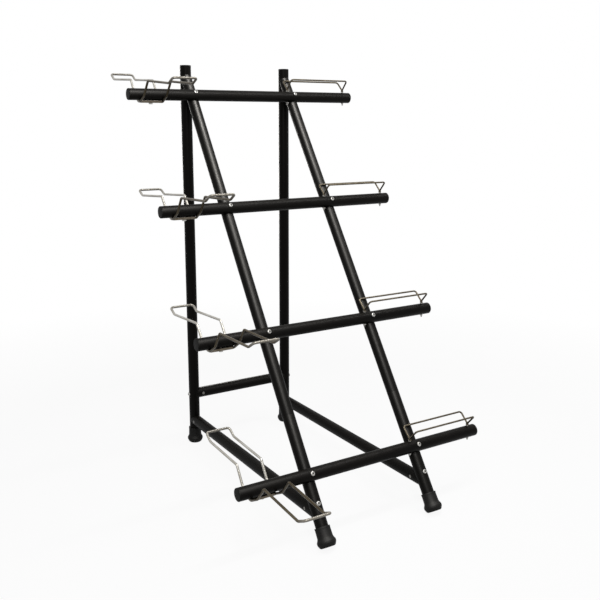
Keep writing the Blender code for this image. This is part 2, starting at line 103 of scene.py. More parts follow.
class Sketch:
    """Adds nodes to a node tree and links them."""

    def __init__(self, tree: Tree) -> None:
        """Keep the tree that nodes are added to."""
        self.tree = tree

    def feed(self, socket: Socket, value: object) -> None:
        """Give an input what it takes.

        Args:
            socket: The input.
            value: A value, or the output socket that it comes from.
        """
        if isinstance(value, Socket):
            self.tree.links.new(value, socket)
        else:
            socket.default_value = value

    def node(self, kind: str, inputs: dict | None = None, **settings: object) -> Node:
        """Add one node.

        Args:
            kind: The node's Blender type name.
            inputs: Values or output sockets by input name or index.
            settings: Attributes set on the node itself.

        Returns:
            The new node.
        """
        made = self.tree.nodes.new(kind)
        for name, value in settings.items():
            setattr(made, name, value)
        for key, value in (inputs or {}).items():
            self.feed(made.inputs[key], value)
        return made

    def math(self, operation: str, *values: object) -> Socket:
        """Return the result of a Math node fed with values or sockets."""
        return self.node("ShaderNodeMath", dict(enumerate(values)), operation=operation).outputs[0]

    def ramp(self, value: Socket, span: Sequence, reach: Sequence[float] = (0.0, 1.0)) -> Socket:
        """Return value taken from span on to reach, clamped."""
        inputs = dict(zip(("Value", "From Min", "From Max", "To Min", "To Max"), (value, *span, *reach)))
        return self.node("ShaderNodeMapRange", inputs, clamp=True).outputs["Result"]

    def blend(self, share: Socket, first: object, second: object) -> Socket:
        """Mix two colours, each a colour or a socket.

        Args:
            share: How much of the second there is, from 0 to 1.
            first: First colour.
            second: Second colour.

        Returns:
            The mixed colour.
        """
        pair = [value if isinstance(value, Socket) else (*value, 1.0) for value in (first, second)]
        mix = self.node("ShaderNodeMix", {"Factor": share, 6: pair[0], 7: pair[1]}, data_type="RGBA")
        return mix.outputs[2]

    def noise(self, place: Socket, scale: object, detail: float, roughness: float = 0.5) -> Socket:
        """Return noise at a place, its scale a value or a socket."""
        inputs = {"Vector": place, "Scale": scale, "Detail": detail, "Roughness": roughness}
        return self.node("ShaderNodeTexNoise", inputs).outputs["Fac"]

    def here(self) -> Socket:
        """Return the place on the piece."""
        return self.node("ShaderNodeTexCoord").outputs["Object"]

    def upward(self) -> Socket:
        """Return how far the surface faces up, from -1 to 1."""
        normal = self.node("ShaderNodeNewGeometry").outputs["Normal"]
        return self.node("ShaderNodeSeparateXYZ", {"Vector": normal}).outputs["Z"]

    def effect(self, group: Tree, inputs: dict | None = None) -> bpy.types.bpy_prop_collection:
        """Return the outputs of a shared group, placed with its own values."""
        return self.node("ShaderNodeGroup", inputs, node_tree=group).outputs


class Group(Sketch):
    """Sketches a node group between its named inputs and outputs."""

    def __init__(self, name: str, kind: str, inputs: dict[str, tuple[str, object]],
                 outputs: dict[str, str]) -> None:
        """Make the group.

        Args:
            name: Name of the group.
            kind: Tree type.
            inputs: Socket type and default value by input name.
            outputs: Socket type by output name.
        """
        super().__init__(bpy.data.node_groups.new(name, kind))
        for label, (socket_type, value) in inputs.items():
            socket = self.tree.interface.new_socket(name=label, in_out="INPUT", socket_type=socket_type)
            if value is not None:
                socket.default_value = value
        for label, socket_type in outputs.items():
            self.tree.interface.new_socket(name=label, in_out="OUTPUT", socket_type=socket_type)
        self.given = self.node("NodeGroupInput").outputs
        self.results = self.node("NodeGroupOutput").inputs

    def put(self, label: str, socket: Socket) -> None:
        """Put a socket out under a name."""
        self.tree.links.new(socket, self.results[label])

    def store(self, geometry: Socket, name: str, value: Socket, kind: str) -> Socket:
        """Return geometry whose points carry value under a name."""
        inputs = {"Geometry": geometry, "Name": name, "Value": value}
        stored = self.node("GeometryNodeStoreNamedAttribute", inputs, data_type=kind, domain="POINT")
        return stored.outputs["Geometry"]

    def recall(self, name: str, kind: str) -> Socket:
        """Return what the points carry under a name."""
        return self.node("GeometryNodeInputNamedAttribute", {"Name": name}, data_type=kind).outputs[0]


def number_group(name: str, inputs: dict[str, float], outputs: Sequence[str]) -> Group:
    """Return an empty shader group whose sockets are all numbers."""
    numbers = {label: ("NodeSocketFloat", value) for label, value in inputs.items()}
    return Group(name, "ShaderNodeTree", numbers, dict.fromkeys(outputs, "NodeSocketFloat"))


# Shared shader effects


class Effects:
    """Shader node groups that several finishes share, each built once."""

    PATCH_SPAN = (0.3, 0.7)
    EDGE_SPAN = (0.995, 0.90)
    CHIP_SCALE = 160.0
    CHIP_SPAN = (0.42, 0.62)
    LIES_ON_SPAN = (0.35, 1.0)
    DUST_SPAN = (0.35, 0.75)
    LINE_STRETCH = (1.0, 1.0, 0.02)
    STAIN_STRETCH = (0.5, 0.5, 0.06)
    STAIN_SPAN = (0.32, 0.68)

    def __init__(self) -> None:
        """Build every group."""
        self.grain = self._grain()
        self.edges = self._edges()
        self.dust = self._dust()
        self.drawn = self._drawn()
        # Mask of painted shade on surfaces that face down, painted light on those that face up.
        self.crown = self._crown()

    def _grain(self) -> Tree:
        """Build the fine grain of a coating, and the slow drift of its sheen.

        Returns:
            The group.
        """
        group = number_group("surface_grain", {"Grain Scale": 900.0, "Patch Scale": 9.0}, ("Height", "Patch"))
        place = group.here()
        group.put("Height", group.noise(place, group.given["Grain Scale"], detail=2.0, roughness=0.45))
        slow = group.noise(place, group.given["Patch Scale"], detail=4.0, roughness=0.6)
        group.put("Patch", group.ramp(slow, self.PATCH_SPAN))
        return group.tree

    def _edges(self) -> Tree:
        """Build the mask of rubbed edges, where a rounded normal leaves the flat one.

        Returns:
            The group.
        """
        group = number_group("edge_wear", {"Radius": 0.0006, "Amount": 0.5}, ("Mask",))
        soft = group.node("ShaderNodeBevel", {"Radius": group.given["Radius"]}, samples=4).outputs["Normal"]
        flat = group.node("ShaderNodeNewGeometry").outputs["Normal"]
        agree = group.node("ShaderNodeVectorMath", {0: soft, 1: flat}, operation="DOT_PRODUCT")
        chipped = group.ramp(group.noise(group.here(), self.CHIP_SCALE, detail=3.0), self.CHIP_SPAN)
        rubbed = group.math("MULTIPLY", group.ramp(agree.outputs["Value"], self.EDGE_SPAN), chipped)
        group.put("Mask", group.math("MULTIPLY", rubbed, group.given["Amount"]))
        return group.tree

    def _dust(self) -> Tree:
        """Build the mask of dust that lies on surfaces facing up.

        Returns:
            The group.
        """
        group = number_group("settled_dust", {"Amount": 0.3, "Scale": 45.0}, ("Mask",))
        patches = group.ramp(group.noise(group.here(), group.given["Scale"], detail=6.0, roughness=0.7),
                             self.DUST_SPAN)
        settled = group.math("MULTIPLY", group.ramp(group.upward(), self.LIES_ON_SPAN), patches)
        group.put("Mask", group.math("MULTIPLY", settled, group.given["Amount"]))
        return group.tree

    def _drawn(self) -> Tree:
        """Build the lengthwise lines and slow stains of drawn wire, from the places that its sweep stores.

        Returns:
            The group.
        """
        group = number_group("drawn_wire", {"Lines": 5.0, "Stain Scale": 1.0}, ("Height", "Stain"))
        place = group.node("ShaderNodeAttribute", attribute_name=WIRE_PLACE).outputs["Vector"]
        long, slow = (group.node("ShaderNodeMapping", {"Vector": place, "Scale": stretch}).outputs["Vector"]
                      for stretch in (self.LINE_STRETCH, self.STAIN_STRETCH))
        group.put("Height", group.noise(long, group.given["Lines"], detail=3.0, roughness=0.7))
        stain = group.noise(slow, group.given["Stain Scale"], detail=4.0, roughness=0.6)
        group.put("Stain", group.ramp(stain, self.STAIN_SPAN))
        return group.tree

    def _crown(self) -> Tree:
        """Build the mask of painted light and shade by facing: surfaces that face up stay bright, those that
        face down take painted shade.

        Returns:
            The group.
        """
        group = number_group("bright_crown", {"Dull Below": -0.75, "Bright Above": 0.7}, ("Mask",))
        span = (group.given["Dull Below"], group.given["Bright Above"])
        group.put("Mask", group.ramp(group.upward(), span))
        return group.tree


# Finishes


class Surface(Sketch):
    """Sketches a material round its one Principled shader."""

    def __init__(self, name: str, display: Colour) -> None:
        """Make the material.

        Args:
            name: Name of the material.
            display: Viewport colour.
        """
        self.material = bpy.data.materials.new(name)
        self.material.use_nodes = True
        self.material.diffuse_color = (*display, 1.0)
        super().__init__(self.material.node_tree)
        self.shader = self.tree.nodes["Principled BSDF"]

    def finish(self, inputs: dict[str, object], height: Socket, depth: float) -> Material:
        """Feed the shader.

        Args:
            inputs: Values and sockets by the shader's input name.
            height: Height of the surface's grain.
            depth: How deep the grain is.

        Returns:
            The material.
        """
        bump = self.node("ShaderNodeBump", {"Strength": 1.0, "Distance": depth, "Height": height})
        for name, value in {**inputs, "Normal": bump.outputs["Normal"]}.items():
            self.feed(self.shader.inputs[name], value)
        return self.material


@dataclass(frozen=True)
class BlackFinish:
    """Black coat or moulding with a fine grain, light dust and rubbed edges."""

    name: str
    colour: Colour
    worn: Colour
    dust: Colour
    roughness: tuple[float, float]
    specular: float
    grain_scale: float
    patch_scale: float
    grain_depth: float
    dust_amount: float
    dust_scale: float
    wear_amount: float
    wear_radius: float
    dust_dulls: bool = False

    def build(self, effects: Effects) -> Material:
        """Build the material.

        Args:
            effects: Shared shader groups.

        Returns:
            The material.
        """
        surface = Surface(self.name, self.colour)
        grain = surface.effect(effects.grain, {
            "Grain Scale": self.grain_scale, "Patch Scale": self.patch_scale})
        edge = surface.effect(effects.edges, {"Amount": self.wear_amount, "Radius": self.wear_radius})
        dust = surface.effect(effects.dust, {"Amount": self.dust_amount, "Scale": self.dust_scale})
        rubbed = surface.blend(edge["Mask"], self.colour, self.worn)
        rough = surface.ramp(grain["Patch"], (0.0, 1.0), self.roughness)
        if self.dust_dulls:
            rough = surface.math("ADD", rough, dust["Mask"])
        inputs = {"Base Color": surface.blend(dust["Mask"], rubbed, self.dust), "Roughness": rough,
                  "Specular IOR Level": self.specular}
        return surface.finish(inputs, grain["Height"], self.grain_depth)


@dataclass(frozen=True)
class PlatedWire:
    """Bright plated steel wire with drawing lines along it and stains, its underside blended towards black as
    painted shade, and dark brown where it is marked, a painted dark reflection.
    """

    name: str = "bright_plated_wire"
    colour: Colour = (0.58, 0.565, 0.53)
    stain: Colour = (0.33, 0.305, 0.255)
    # Dark brown of the painted dark reflection, and its stain.
    dark_reflection: Colour = (0.125, 0.104, 0.070)
    dark_reflection_stain: Colour = (0.066, 0.050, 0.029)
    # Painted shade: the underside of the wire is blended towards black, keeping only the share under of its
    # colour.
    black: Colour = (0.0, 0.0, 0.0)
    under: float = 0.34
    roughness: tuple[float, float] = (0.29, 0.42)
    line_depth: float = 0.00004

    def build(self, effects: Effects) -> Material:
        """Build the material.

        Args:
            effects: Shared shader groups.

        Returns:
            The material.
        """
        surface = Surface(self.name, self.colour)
        drawn = surface.effect(effects.drawn)
        crown = surface.effect(effects.crown)
        plating = surface.blend(drawn["Stain"], self.colour, self.stain)
        brown = surface.blend(drawn["Stain"], self.dark_reflection, self.dark_reflection_stain)
        # Painted dark reflection: where the wire is marked, it takes the dark brown.
        grime = surface.node("ShaderNodeAttribute", attribute_name=PAINTED_SHADE).outputs["Fac"]
        # Painted shade: faces that point down are blended towards black.
        shade = surface.ramp(crown["Mask"], (0.0, 1.0), (self.under, 1.0))
        inputs = {"Base Color": surface.blend(shade, self.black, surface.blend(grime, plating, brown)),
                  "Roughness": surface.ramp(drawn["Stain"], (0.0, 1.0), self.roughness), "Metallic": 1.0}
        return surface.finish(inputs, drawn["Height"], self.line_depth)


@dataclass(frozen=True)
class PlatedSteel:
    """Zinc plated steel, clouded and lightly worn, with painted shade where it is marked."""

    name: str
    colour: Colour
    cloud: Colour
    roughness: tuple[float, float]
    grain_scale: float
    grain_depth: float
    patch_scale: float = 140.0
    # Colour of the painted shade.
    grime: Colour = (0.030, 0.027, 0.022)
    wear_amount: float = 0.6
    wear_radius: float = 0.0004
    wear_gain: float = 1.15

    def build(self, effects: Effects) -> Material:
        """Build the material.

        Args:
            effects: Shared shader groups.

        Returns:
            The material.
        """
        surface = Surface(self.name, self.colour)
        grain = surface.effect(effects.grain, {
            "Grain Scale": self.grain_scale, "Patch Scale": self.patch_scale})
        edge = surface.effect(effects.edges, {"Amount": self.wear_amount, "Radius": self.wear_radius})
        clouded = surface.blend(grain["Patch"], self.colour, self.cloud)
        bright = tuple(min(1.0, value * self.wear_gain) for value in self.colour)
        rubbed = surface.blend(edge["Mask"], clouded, bright)
        # Painted shade: marked places, such as sockets, crevices and recesses, take the dark colour.
        grime = surface.node("ShaderNodeAttribute", attribute_name=PAINTED_SHADE).outputs["Fac"]
        inputs = {"Base Color": surface.blend(grime, rubbed, self.grime), "Metallic": 1.0,
                  "Roughness": surface.ramp(grain["Patch"], (0.0, 1.0), self.roughness)}
        return surface.finish(inputs, grain["Height"], self.grain_depth)


class Palette:
    """Every finish of the stand, built once."""

    def __init__(self) -> None:
        """Build the shared effects and the materials."""
        effects = Effects()
        self.coat = BlackFinish(
            "satin_black_powder_coat", colour=(0.0023, 0.0019, 0.0015), worn=(0.030, 0.028, 0.024),
            dust=(0.060, 0.049, 0.037), roughness=(0.39, 0.47), specular=0.05, grain_scale=520.0,
            patch_scale=7.0, grain_depth=0.00003, dust_amount=0.10, dust_scale=45.0, wear_amount=0.55,
            wear_radius=0.0006, dust_dulls=True).build(effects)
        self.cap = BlackFinish(
            "moulded_black_plastic", colour=(0.0022, 0.0021, 0.0019), worn=(0.035, 0.032, 0.027),
            dust=(0.035, 0.032, 0.027), roughness=(0.50, 0.60), specular=0.06, grain_scale=1400.0,
            patch_scale=30.0, grain_depth=0.00003, dust_amount=0.05, dust_scale=90.0, wear_amount=0.25,
            wear_radius=0.0008).build(effects)
        self.rubber = BlackFinish(
            "black_rubber_ferrule", colour=(0.0040, 0.0039, 0.0037), worn=(0.050, 0.047, 0.041),
            dust=(0.050, 0.047, 0.041), roughness=(0.57, 0.67), specular=0.10, grain_scale=700.0,
            patch_scale=30.0, grain_depth=0.00007, dust_amount=0.15, dust_scale=90.0, wear_amount=0.25,
            wear_radius=0.0008).build(effects)
        self.wire = PlatedWire().build(effects)
        self.tie = PlatedSteel(
            "plated_steel_tie", colour=(0.165, 0.142, 0.112), cloud=(0.085, 0.068, 0.048),
            roughness=(0.28, 0.42), grain_scale=500.0, grain_depth=0.00003).build(effects)
        self.weld = PlatedSteel(
            "plated_weld_bead", colour=(0.17, 0.155, 0.125), cloud=(0.08, 0.065, 0.045),
            roughness=(0.34, 0.48), grain_scale=900.0, grain_depth=0.00006).build(effects)
        self.zinc = PlatedSteel(
            "bright_zinc_fastener", colour=(0.47, 0.465, 0.45), cloud=(0.30, 0.29, 0.265),
            roughness=(0.24, 0.38), grain_scale=1100.0, grain_depth=0.00002).build(effects)


# Meshes


def facing(axis: Vector, side: Vector = AXIS_X) -> Matrix:
    """Make a rotation.

    Args:
        axis: Where its Z points.
        side: Where its X points, as nearly as possible.

    Returns:
        The rotation.
    """
    along = axis.normalized()
    if abs(along.dot(side)) > NEARLY_PARALLEL:
        side = AXIS_Y
    across = (side - along * side.dot(along)).normalized()
    return Matrix((across, along.cross(across), along)).transposed().to_4x4()


def placed(place: Vector, turn: Matrix) -> Matrix:
    """Return the transform that turns about the origin and then moves to place."""
    return Matrix.Translation(place) @ turn


def arc(before: Vector, corner: Vector, after: Vector, radius: float, widest: float) -> list[Vector]:
    """Round one corner.

    Args:
        before: Point before the corner.
        corner: The corner.
        after: Point after the corner.
        radius: Radius of the arc.
        widest: Widest angle between two points of the arc.

    Returns:
        Points from the arc's start to its end.
    """
    arriving = (corner - before).normalized()
    leaving = (after - corner).normalized()
    turn = arriving.angle(leaving)
    if turn < STRAIGHT_TURN:
        return [corner]
    reach = radius * math.tan(turn / 2)
    inward = (leaving - arriving * arriving.dot(leaving)).normalized()
    centre = corner - arriving * reach + inward * radius
    steps = max(2, math.ceil(turn / widest))
    angles = [turn * step / steps for step in range(steps + 1)]
    return [centre - inward * radius * math.cos(angle) + arriving * radius * math.sin(angle)
            for angle in angles]


def rounded_outline(rows: Sequence[tuple[float, float, float]], closed: bool = False) -> Outline:
    """Round the corners of an outline.

    Args:
        rows: Radius, height and corner radius of each point.
        closed: Whether the last point joins the first.

    Returns:
        The finished outline.
    """
    outline: Outline = []
    points = [Vector(row[:2]) for row in rows]
    for i, (radius, height, corner) in enumerate(rows):
        if corner and (closed or 0 < i < len(rows) - 1):
            after = points[(i + 1) % len(rows)]
            outline += [tuple(point) for point in arc(points[i - 1], points[i], after, corner, 2 * ARC_STEP)]
        else:
            outline.append((radius, height))
    return outline


def rounded_path(corners: Sequence[Vector], bends: Sequence[float], cyclic: bool = False) -> list[Vector]:
    """Join straight runs by arcs.

    Args:
        corners: Where the straight runs would meet.
        bends: Radius of the bend at each corner.
        cyclic: Whether the path is a loop.

    Returns:
        Points along the path.
    """
    count = len(corners)
    points = []
    for i, corner in enumerate(corners):
        if cyclic or 0 < i < count - 1:
            points += arc(corners[i - 1], corner, corners[(i + 1) % count], bends[i], ARC_STEP)
        else:
            points.append(corner)
    return points


def reach_at(row: tuple, angle: float) -> float:
    """Measure one row of an outline.

    Args:
        row: Radius and height, then the kind of ring and its limit.
        angle: Angle round the axis.

    Returns:
        How far the row reaches from the axis there.
    """
    radius = row[0]
    kind = row[2] if len(row) > 2 else Ring.ROUND
    if kind is Ring.ROUND:
        return radius
    to_flat = radius / math.cos(angle % (math.pi / 3) - math.pi / 6)
    return to_flat if kind is Ring.HEXAGON else min(to_flat, row[3])


def turned(name: str, outline: Outline, sides: int, closed: bool = False) -> Mesh:
    """Turn an outline about Z.

    Args:
        name: Name of the mesh.
        outline: Rows of radius and height, then the kind of ring and its limit.
        sides: Number of facets round the axis.
        closed: Whether the outline is a loop, as a tube's is. An open one starts and ends on the axis.

    Returns:
        A closed mesh.
    """
    bm = bmesh.new()
    rings = []
    for row in outline:
        if row[0] == 0:
            rings.append([bm.verts.new((0, 0, row[1]))])
            continue
        ring = []
        for i in range(sides):
            angle = 2 * math.pi * i / sides
            reach = reach_at(row, angle)
            ring.append(bm.verts.new((reach * math.cos(angle), reach * math.sin(angle), row[1])))
        rings.append(ring)
    pairs = list(zip(rings, rings[1:]))
    if closed:
        pairs.append((rings[-1], rings[0]))
    for lower, upper in pairs:
        for i in range(sides):
            j = (i + 1) % sides
            below = [lower[i % len(lower)], lower[j % len(lower)]]
            above = [upper[j % len(upper)], upper[i % len(upper)]]
            bm.faces.new(list(dict.fromkeys(below + above)))
    bmesh.ops.recalc_face_normals(bm, faces=bm.faces[:])
    return plain(name, bm)


def plain(name: str, bm: bmesh.types.BMesh) -> Mesh:
    """Turn a working mesh into a plain one.

    Args:
        name: Name of the mesh.
        bm: The working mesh, which is freed.

    Returns:
        The mesh.
    """
    mesh = bpy.data.meshes.new(name)
    bm.to_mesh(mesh)
    bm.free()
    return mesh


def rod(name: str, radius: float, start: float, end: float, sides: int = TUBE_SIDES) -> Mesh:
    """Return a solid cylinder along Z."""
    return turned(name, [(0, start), (radius, start), (radius, end), (0, end)], sides)


def block(name: str, size: Vector, centre: Vector, edge: float = 0.0) -> Mesh:
    """Make a box with rounded edges.

    Args:
        name: Name of the mesh.
        size: Its size along each axis.
        centre: Its centre.
        edge: Radius of its edges.

    Returns:
        The mesh.
    """
    bm = bmesh.new()
    bmesh.ops.create_cube(bm, size=1.0, matrix=Matrix.Translation(centre) @ Matrix.Diagonal((*size, 1)))
    if edge:
        bmesh.ops.bevel(bm, geom=bm.edges[:], offset=edge, segments=4, profile=0.5, affect="EDGES")
    return plain(name, bm)


def points_mesh(name: str, points: Iterable[Vector], edges: Sequence[tuple[int, int]] = ()) -> Mesh:
    """Make a mesh of points and edges, for a geometry tree to work from.

    Args:
        name: Name of the mesh.
        points: The points.
        edges: Pairs of points that are joined.

    Returns:
        The mesh.
    """
    mesh = bpy.data.meshes.new(name)
    mesh.from_pydata([tuple(point) for point in points], edges, [])
    return mesh


def path_mesh(name: str, points: Sequence[Vector], cyclic: bool) -> Mesh:
    """Return the edges along a path, closed on itself where it is cyclic."""
    count = len(points)
    return points_mesh(name, points, [(i, (i + 1) % count) for i in range(count if cyclic else count - 1)])


def link(name: str, mesh: Mesh) -> Object:
    """Put a mesh in the scene.

    Args:
        name: Name of the object.
        mesh: Its mesh.

    Returns:
        The object, at the origin.
    """
    obj = bpy.data.objects.new(name, mesh)
    bpy.context.scene.collection.objects.link(obj)
    return obj


def baked(obj: Object) -> Mesh:
    """Turn an object with modifiers into a plain mesh.

    Args:
        obj: The object, which is removed.

    Returns:
        Its evaluated mesh.
    """
    bpy.context.view_layer.update()
    mesh = bpy.data.meshes.new_from_object(obj.evaluated_get(bpy.context.evaluated_depsgraph_get()))
    mesh.name = obj.name
    bpy.data.objects.remove(obj, do_unlink=True)
    return mesh


def carved(mesh: Mesh, cutters: Iterable[Mesh]) -> Mesh:
    """Cut meshes from a mesh.

    Args:
        mesh: What is cut, already in place.
        cutters: Closed meshes, already in place.

    Returns:
        What is left.
    """
    body = link(mesh.name, mesh)
    tools = [link(f"{mesh.name}_cutter", cutter) for cutter in cutters]
    for tool in tools:
        step = body.modifiers.new(tool.name, "BOOLEAN")
        step.operation = "DIFFERENCE"
        step.solver = "EXACT"
        step.object = tool
    left = baked(body)
    for tool in tools:
        bpy.data.objects.remove(tool, do_unlink=True)
    return left


def moved(mesh: Mesh, place: Vector, turn: Matrix = Matrix.Identity(4)) -> Mesh:
    """Turn and move a mesh, and return it."""
    mesh.transform(placed(place, turn))
    return mesh


def joined(name: str, meshes: Sequence[Mesh]) -> Mesh:
    """Join meshes, each with its own materials.

    Args:
        name: Name of the mesh.
        meshes: What is joined.

    Returns:
        One mesh that holds them all.
    """
    bm = bmesh.new()
    materials = []
    for mesh in meshes:
        start = len(bm.faces)
        bm.from_mesh(mesh)
        bm.faces.ensure_lookup_table()
        materials += [material for material in mesh.materials if material not in materials]
        slots = [materials.index(material) for material in mesh.materials]
        for face in bm.faces[start:]:
            face.material_index = slots[face.material_index] if slots else 0
    whole = plain(name, bm)
    for material in materials:
        whole.materials.append(material)
    return whole


def with_painted_shade(mesh: Mesh, share: Callable[[Vector], float]) -> Mesh:
    """Note on each vertex of a mesh how much painted shade it takes, which on wires is a painted dark
    reflection.

    Args:
        mesh: The mesh, in its own place.
        share: Gives the painted shade at a point, from 0 to 1.

    Returns:
        The same mesh.
    """
    noted = mesh.attributes.new(PAINTED_SHADE, "FLOAT", "POINT")
    for slot, vertex in zip(noted.data, mesh.vertices):
        slot.value = share(vertex.co)
    return mesh


def between(stops: Sequence[tuple[float, float]], place: float) -> float:
    """Read a value off the straight lines that join stops.

    Args:
        stops: Places in order, each with its value.
        place: Where the value is read.

    Returns:
        The value there.
    """
    for (start, first), (end, last) in zip(stops, stops[1:]):
        if place < end:
            return first + (last - first) * max(0.0, place - start) / (end - start)
    return stops[-1][1]


def smoothed(mesh: Mesh) -> Mesh:
    """Smooth the round surfaces of a mesh.

    Args:
        mesh: The mesh.

    Returns:
        The same mesh.
    """
    mesh.shade_smooth()
    mesh.set_sharp_from_angle(angle=SHARP_ANGLE)
    return mesh


def dressed(mesh: Mesh, material: Material) -> Mesh:
    """Give a mesh its only material and smooth its round surfaces.

    Args:
        mesh: The mesh.
        material: Its material.

    Returns:
        The same mesh.
    """
    mesh.materials.clear()
    mesh.materials.append(material)
    return smoothed(mesh)


def hand_over(name: str, mesh: Mesh, slot: Slot, nodes: Sequence[str]) -> None:
    """Put a finished piece on the stand.

    Args:
        name: Name of the piece.
        mesh: Its mesh, in place.
        slot: The record's slot of the piece's finish. Not used.
        nodes: CAD nodes that it stands for.
    """
    piece = link(name, mesh)
    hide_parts(*nodes)
    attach(piece, BODY)
    LOG.info("%s: %d faces, stands for %s", name, len(mesh.polygons), ", ".join(nodes))


# Geometry trees


class GeometryTree:
    """A geometry node tree that is run on one mesh at a time."""

    def __init__(self, name: str, inputs: dict[str, tuple[str, object]],
                 build: Callable[[Group], Socket]) -> None:
        """Build the tree.

        Args:
            name: Name of the tree.
            inputs: Socket type and default value by input name, besides the geometry and material.
            build: Adds the tree's own nodes and returns the geometry that they make.
        """
        sockets = {"Geometry": ("NodeSocketGeometry", None), "Material": ("NodeSocketMaterial", None),
                   **inputs}
        group = Group(name, "GeometryNodeTree", sockets, {"Geometry": "NodeSocketGeometry"})
        whole = group.node("GeometryNodeRealizeInstances", {"Geometry": build(group)}).outputs["Geometry"]
        done = group.node("GeometryNodeSetMaterial", {
            "Geometry": whole, "Material": group.given["Material"]})
        group.put("Geometry", done.outputs["Geometry"])
        self.tree = group.tree

    def run(self, mesh: Mesh, values: dict[str, object]) -> Mesh:
        """Run the tree on a mesh.

        Args:
            mesh: Path or points that the tree works from.
            values: Value of each named input.

        Returns:
            The tree's result as a plain mesh.
        """
        obj = link(mesh.name, mesh)
        modifier = obj.modifiers.new(self.tree.name, "NODES")
        modifier.node_group = self.tree
        for item in self.tree.interface.items_tree:
            if item.item_type == "SOCKET" and item.in_out == "INPUT" and item.name in values:
                modifier[item.identifier] = values[item.name]
        return baked(obj)


def sweep_nodes(group: Group) -> Socket:
    """Add the nodes that sweep a round wire along a path and note each point's place on it.

    Args:
        group: The tree's sketch.

    Returns:
        The wire.
    """
    radius = group.given["Radius"]
    path = group.node("GeometryNodeMeshToCurve", {"Mesh": group.given["Geometry"]}).outputs["Curve"]
    along = group.node("GeometryNodeSplineParameter").outputs["Length"]
    measured = group.store(path, "wire_length", along, "FLOAT")
    ring = group.node("GeometryNodeCurvePrimitiveCircle", {
        "Resolution": group.given["Sides"], "Radius": radius})
    spot = group.node("GeometryNodeInputPosition").outputs["Position"]
    marked = group.store(ring.outputs["Curve"], "wire_ring", spot, "FLOAT_VECTOR")
    swept = group.node("GeometryNodeCurveToMesh", {
        "Curve": measured, "Profile Curve": marked, "Fill Caps": True})
    around = group.node("ShaderNodeSeparateXYZ", {
        "Vector": group.recall("wire_ring", "FLOAT_VECTOR")}).outputs
    place = group.node("ShaderNodeCombineXYZ", {
        "X": around["X"], "Y": around["Y"], "Z": group.recall("wire_length", "FLOAT")}).outputs["Vector"]
    per_radius = group.math("DIVIDE", 1.0, radius)
    scaled = group.node("ShaderNodeVectorMath", {0: place, "Scale": per_radius}, operation="SCALE")
    return group.store(swept.outputs["Mesh"], WIRE_PLACE, scaled.outputs["Vector"], "FLOAT_VECTOR")


def repeat_nodes(group: Group) -> Socket:
    """Add the nodes that set a copy of one object on every point, turned as the point says.

    Args:
        group: The tree's sketch.

    Returns:
        The copies.
    """
    pattern = group.node("GeometryNodeObjectInfo", {"Object": group.given["Pattern"]}).outputs["Geometry"]
    turn = group.recall("turn", "FLOAT_VECTOR")
    rotation = group.node("FunctionNodeEulerToRotation", {0: turn}).outputs[0]
    copies = group.node("GeometryNodeInstanceOnPoints", {
        "Points": group.given["Geometry"], "Instance": pattern, "Rotation": rotation})
    return copies.outputs["Instances"]


def bead_nodes(group: Group) -> Socket:
    """Add the nodes that lay the overlapping ripples of a weld along a path.

    Args:
        group: The tree's sketch.

    Returns:
        The ripples.
    """
    path = group.node("GeometryNodeMeshToCurve", {"Mesh": group.given["Geometry"]}).outputs["Curve"]
    spaced = group.node("GeometryNodeResampleCurve", {
        "Curve": path, "Length": group.given["Spacing"]}, mode="LENGTH").outputs["Curve"]
    drop = group.node("GeometryNodeMeshIcoSphere", {"Radius": group.given["Radius"], "Subdivisions": 3})
    smooth = group.node("GeometryNodeSetShadeSmooth", {
        "Geometry": drop.outputs["Mesh"]}).outputs["Geometry"]
    size = group.node("FunctionNodeRandomValue", {
        2: group.given["Least"], 3: group.given["Most"], "Seed": group.given["Seed"]}, data_type="FLOAT")
    drops = group.node("GeometryNodeInstanceOnPoints", {
        "Points": spaced, "Instance": smooth, "Scale": size.outputs[1]})
    return drops.outputs["Instances"]


class Trees:
    """The geometry trees of the stand."""

    RIPPLE_SPACING = 0.8

    def __init__(self) -> None:
        """Build every tree."""
        self.sweep = GeometryTree("wire_sweep", {
            "Radius": ("NodeSocketFloat", 0.004), "Sides": ("NodeSocketInt", WIRE_SIDES)}, sweep_nodes)
        self.repeat = GeometryTree("set_on_points", {"Pattern": ("NodeSocketObject", None)}, repeat_nodes)
        self.bead = GeometryTree("weld_bead", {
            "Radius": ("NodeSocketFloat", 0.001), "Spacing": ("NodeSocketFloat", 0.001),
            "Least": ("NodeSocketFloat", 0.85), "Most": ("NodeSocketFloat", 1.12),
            "Seed": ("NodeSocketInt", 3)}, bead_nodes)

    def wire(self, name: str, points: Sequence[Vector], radius: float, material: Material,
             cyclic: bool = False) -> Mesh:
        """Sweep a wire along points, in a loop where it is cyclic, and return it."""
        path = path_mesh(name, points, cyclic)
        return smoothed(self.sweep.run(path, {"Radius": radius, "Material": material}))

    def copies(self, name: str, pattern: Mesh, spots: Sequence[tuple[Vector, Matrix]],
               material: Material) -> Mesh:
        """Set copies of one mesh.

        Args:
            name: Name of the mesh.
            pattern: The mesh that is repeated.
            spots: Place and turn of each copy.
            material: Its material.

        Returns:
            All the copies.
        """
        guide = link(f"{name}_pattern", dressed(pattern, material))
        points = points_mesh(name, [place for place, _ in spots])
        turns = points.attributes.new("turn", "FLOAT_VECTOR", "POINT")
        for slot, (_, turn) in zip(turns.data, spots):
            slot.vector = turn.to_euler()
        mesh = self.repeat.run(points, {"Pattern": guide, "Material": material})
        bpy.data.objects.remove(guide, do_unlink=True)
        return mesh

    def weld(self, points: Sequence[Vector], radius: float, material: Material,
             cyclic: bool = False) -> Mesh:
        """Lay a weld bead along points, with ripples of a radius, and return it."""
        values = {"Radius": radius, "Spacing": radius * self.RIPPLE_SPACING, "Material": material}
        return self.bead.run(path_mesh("bead", points, cyclic), values)


# The stand


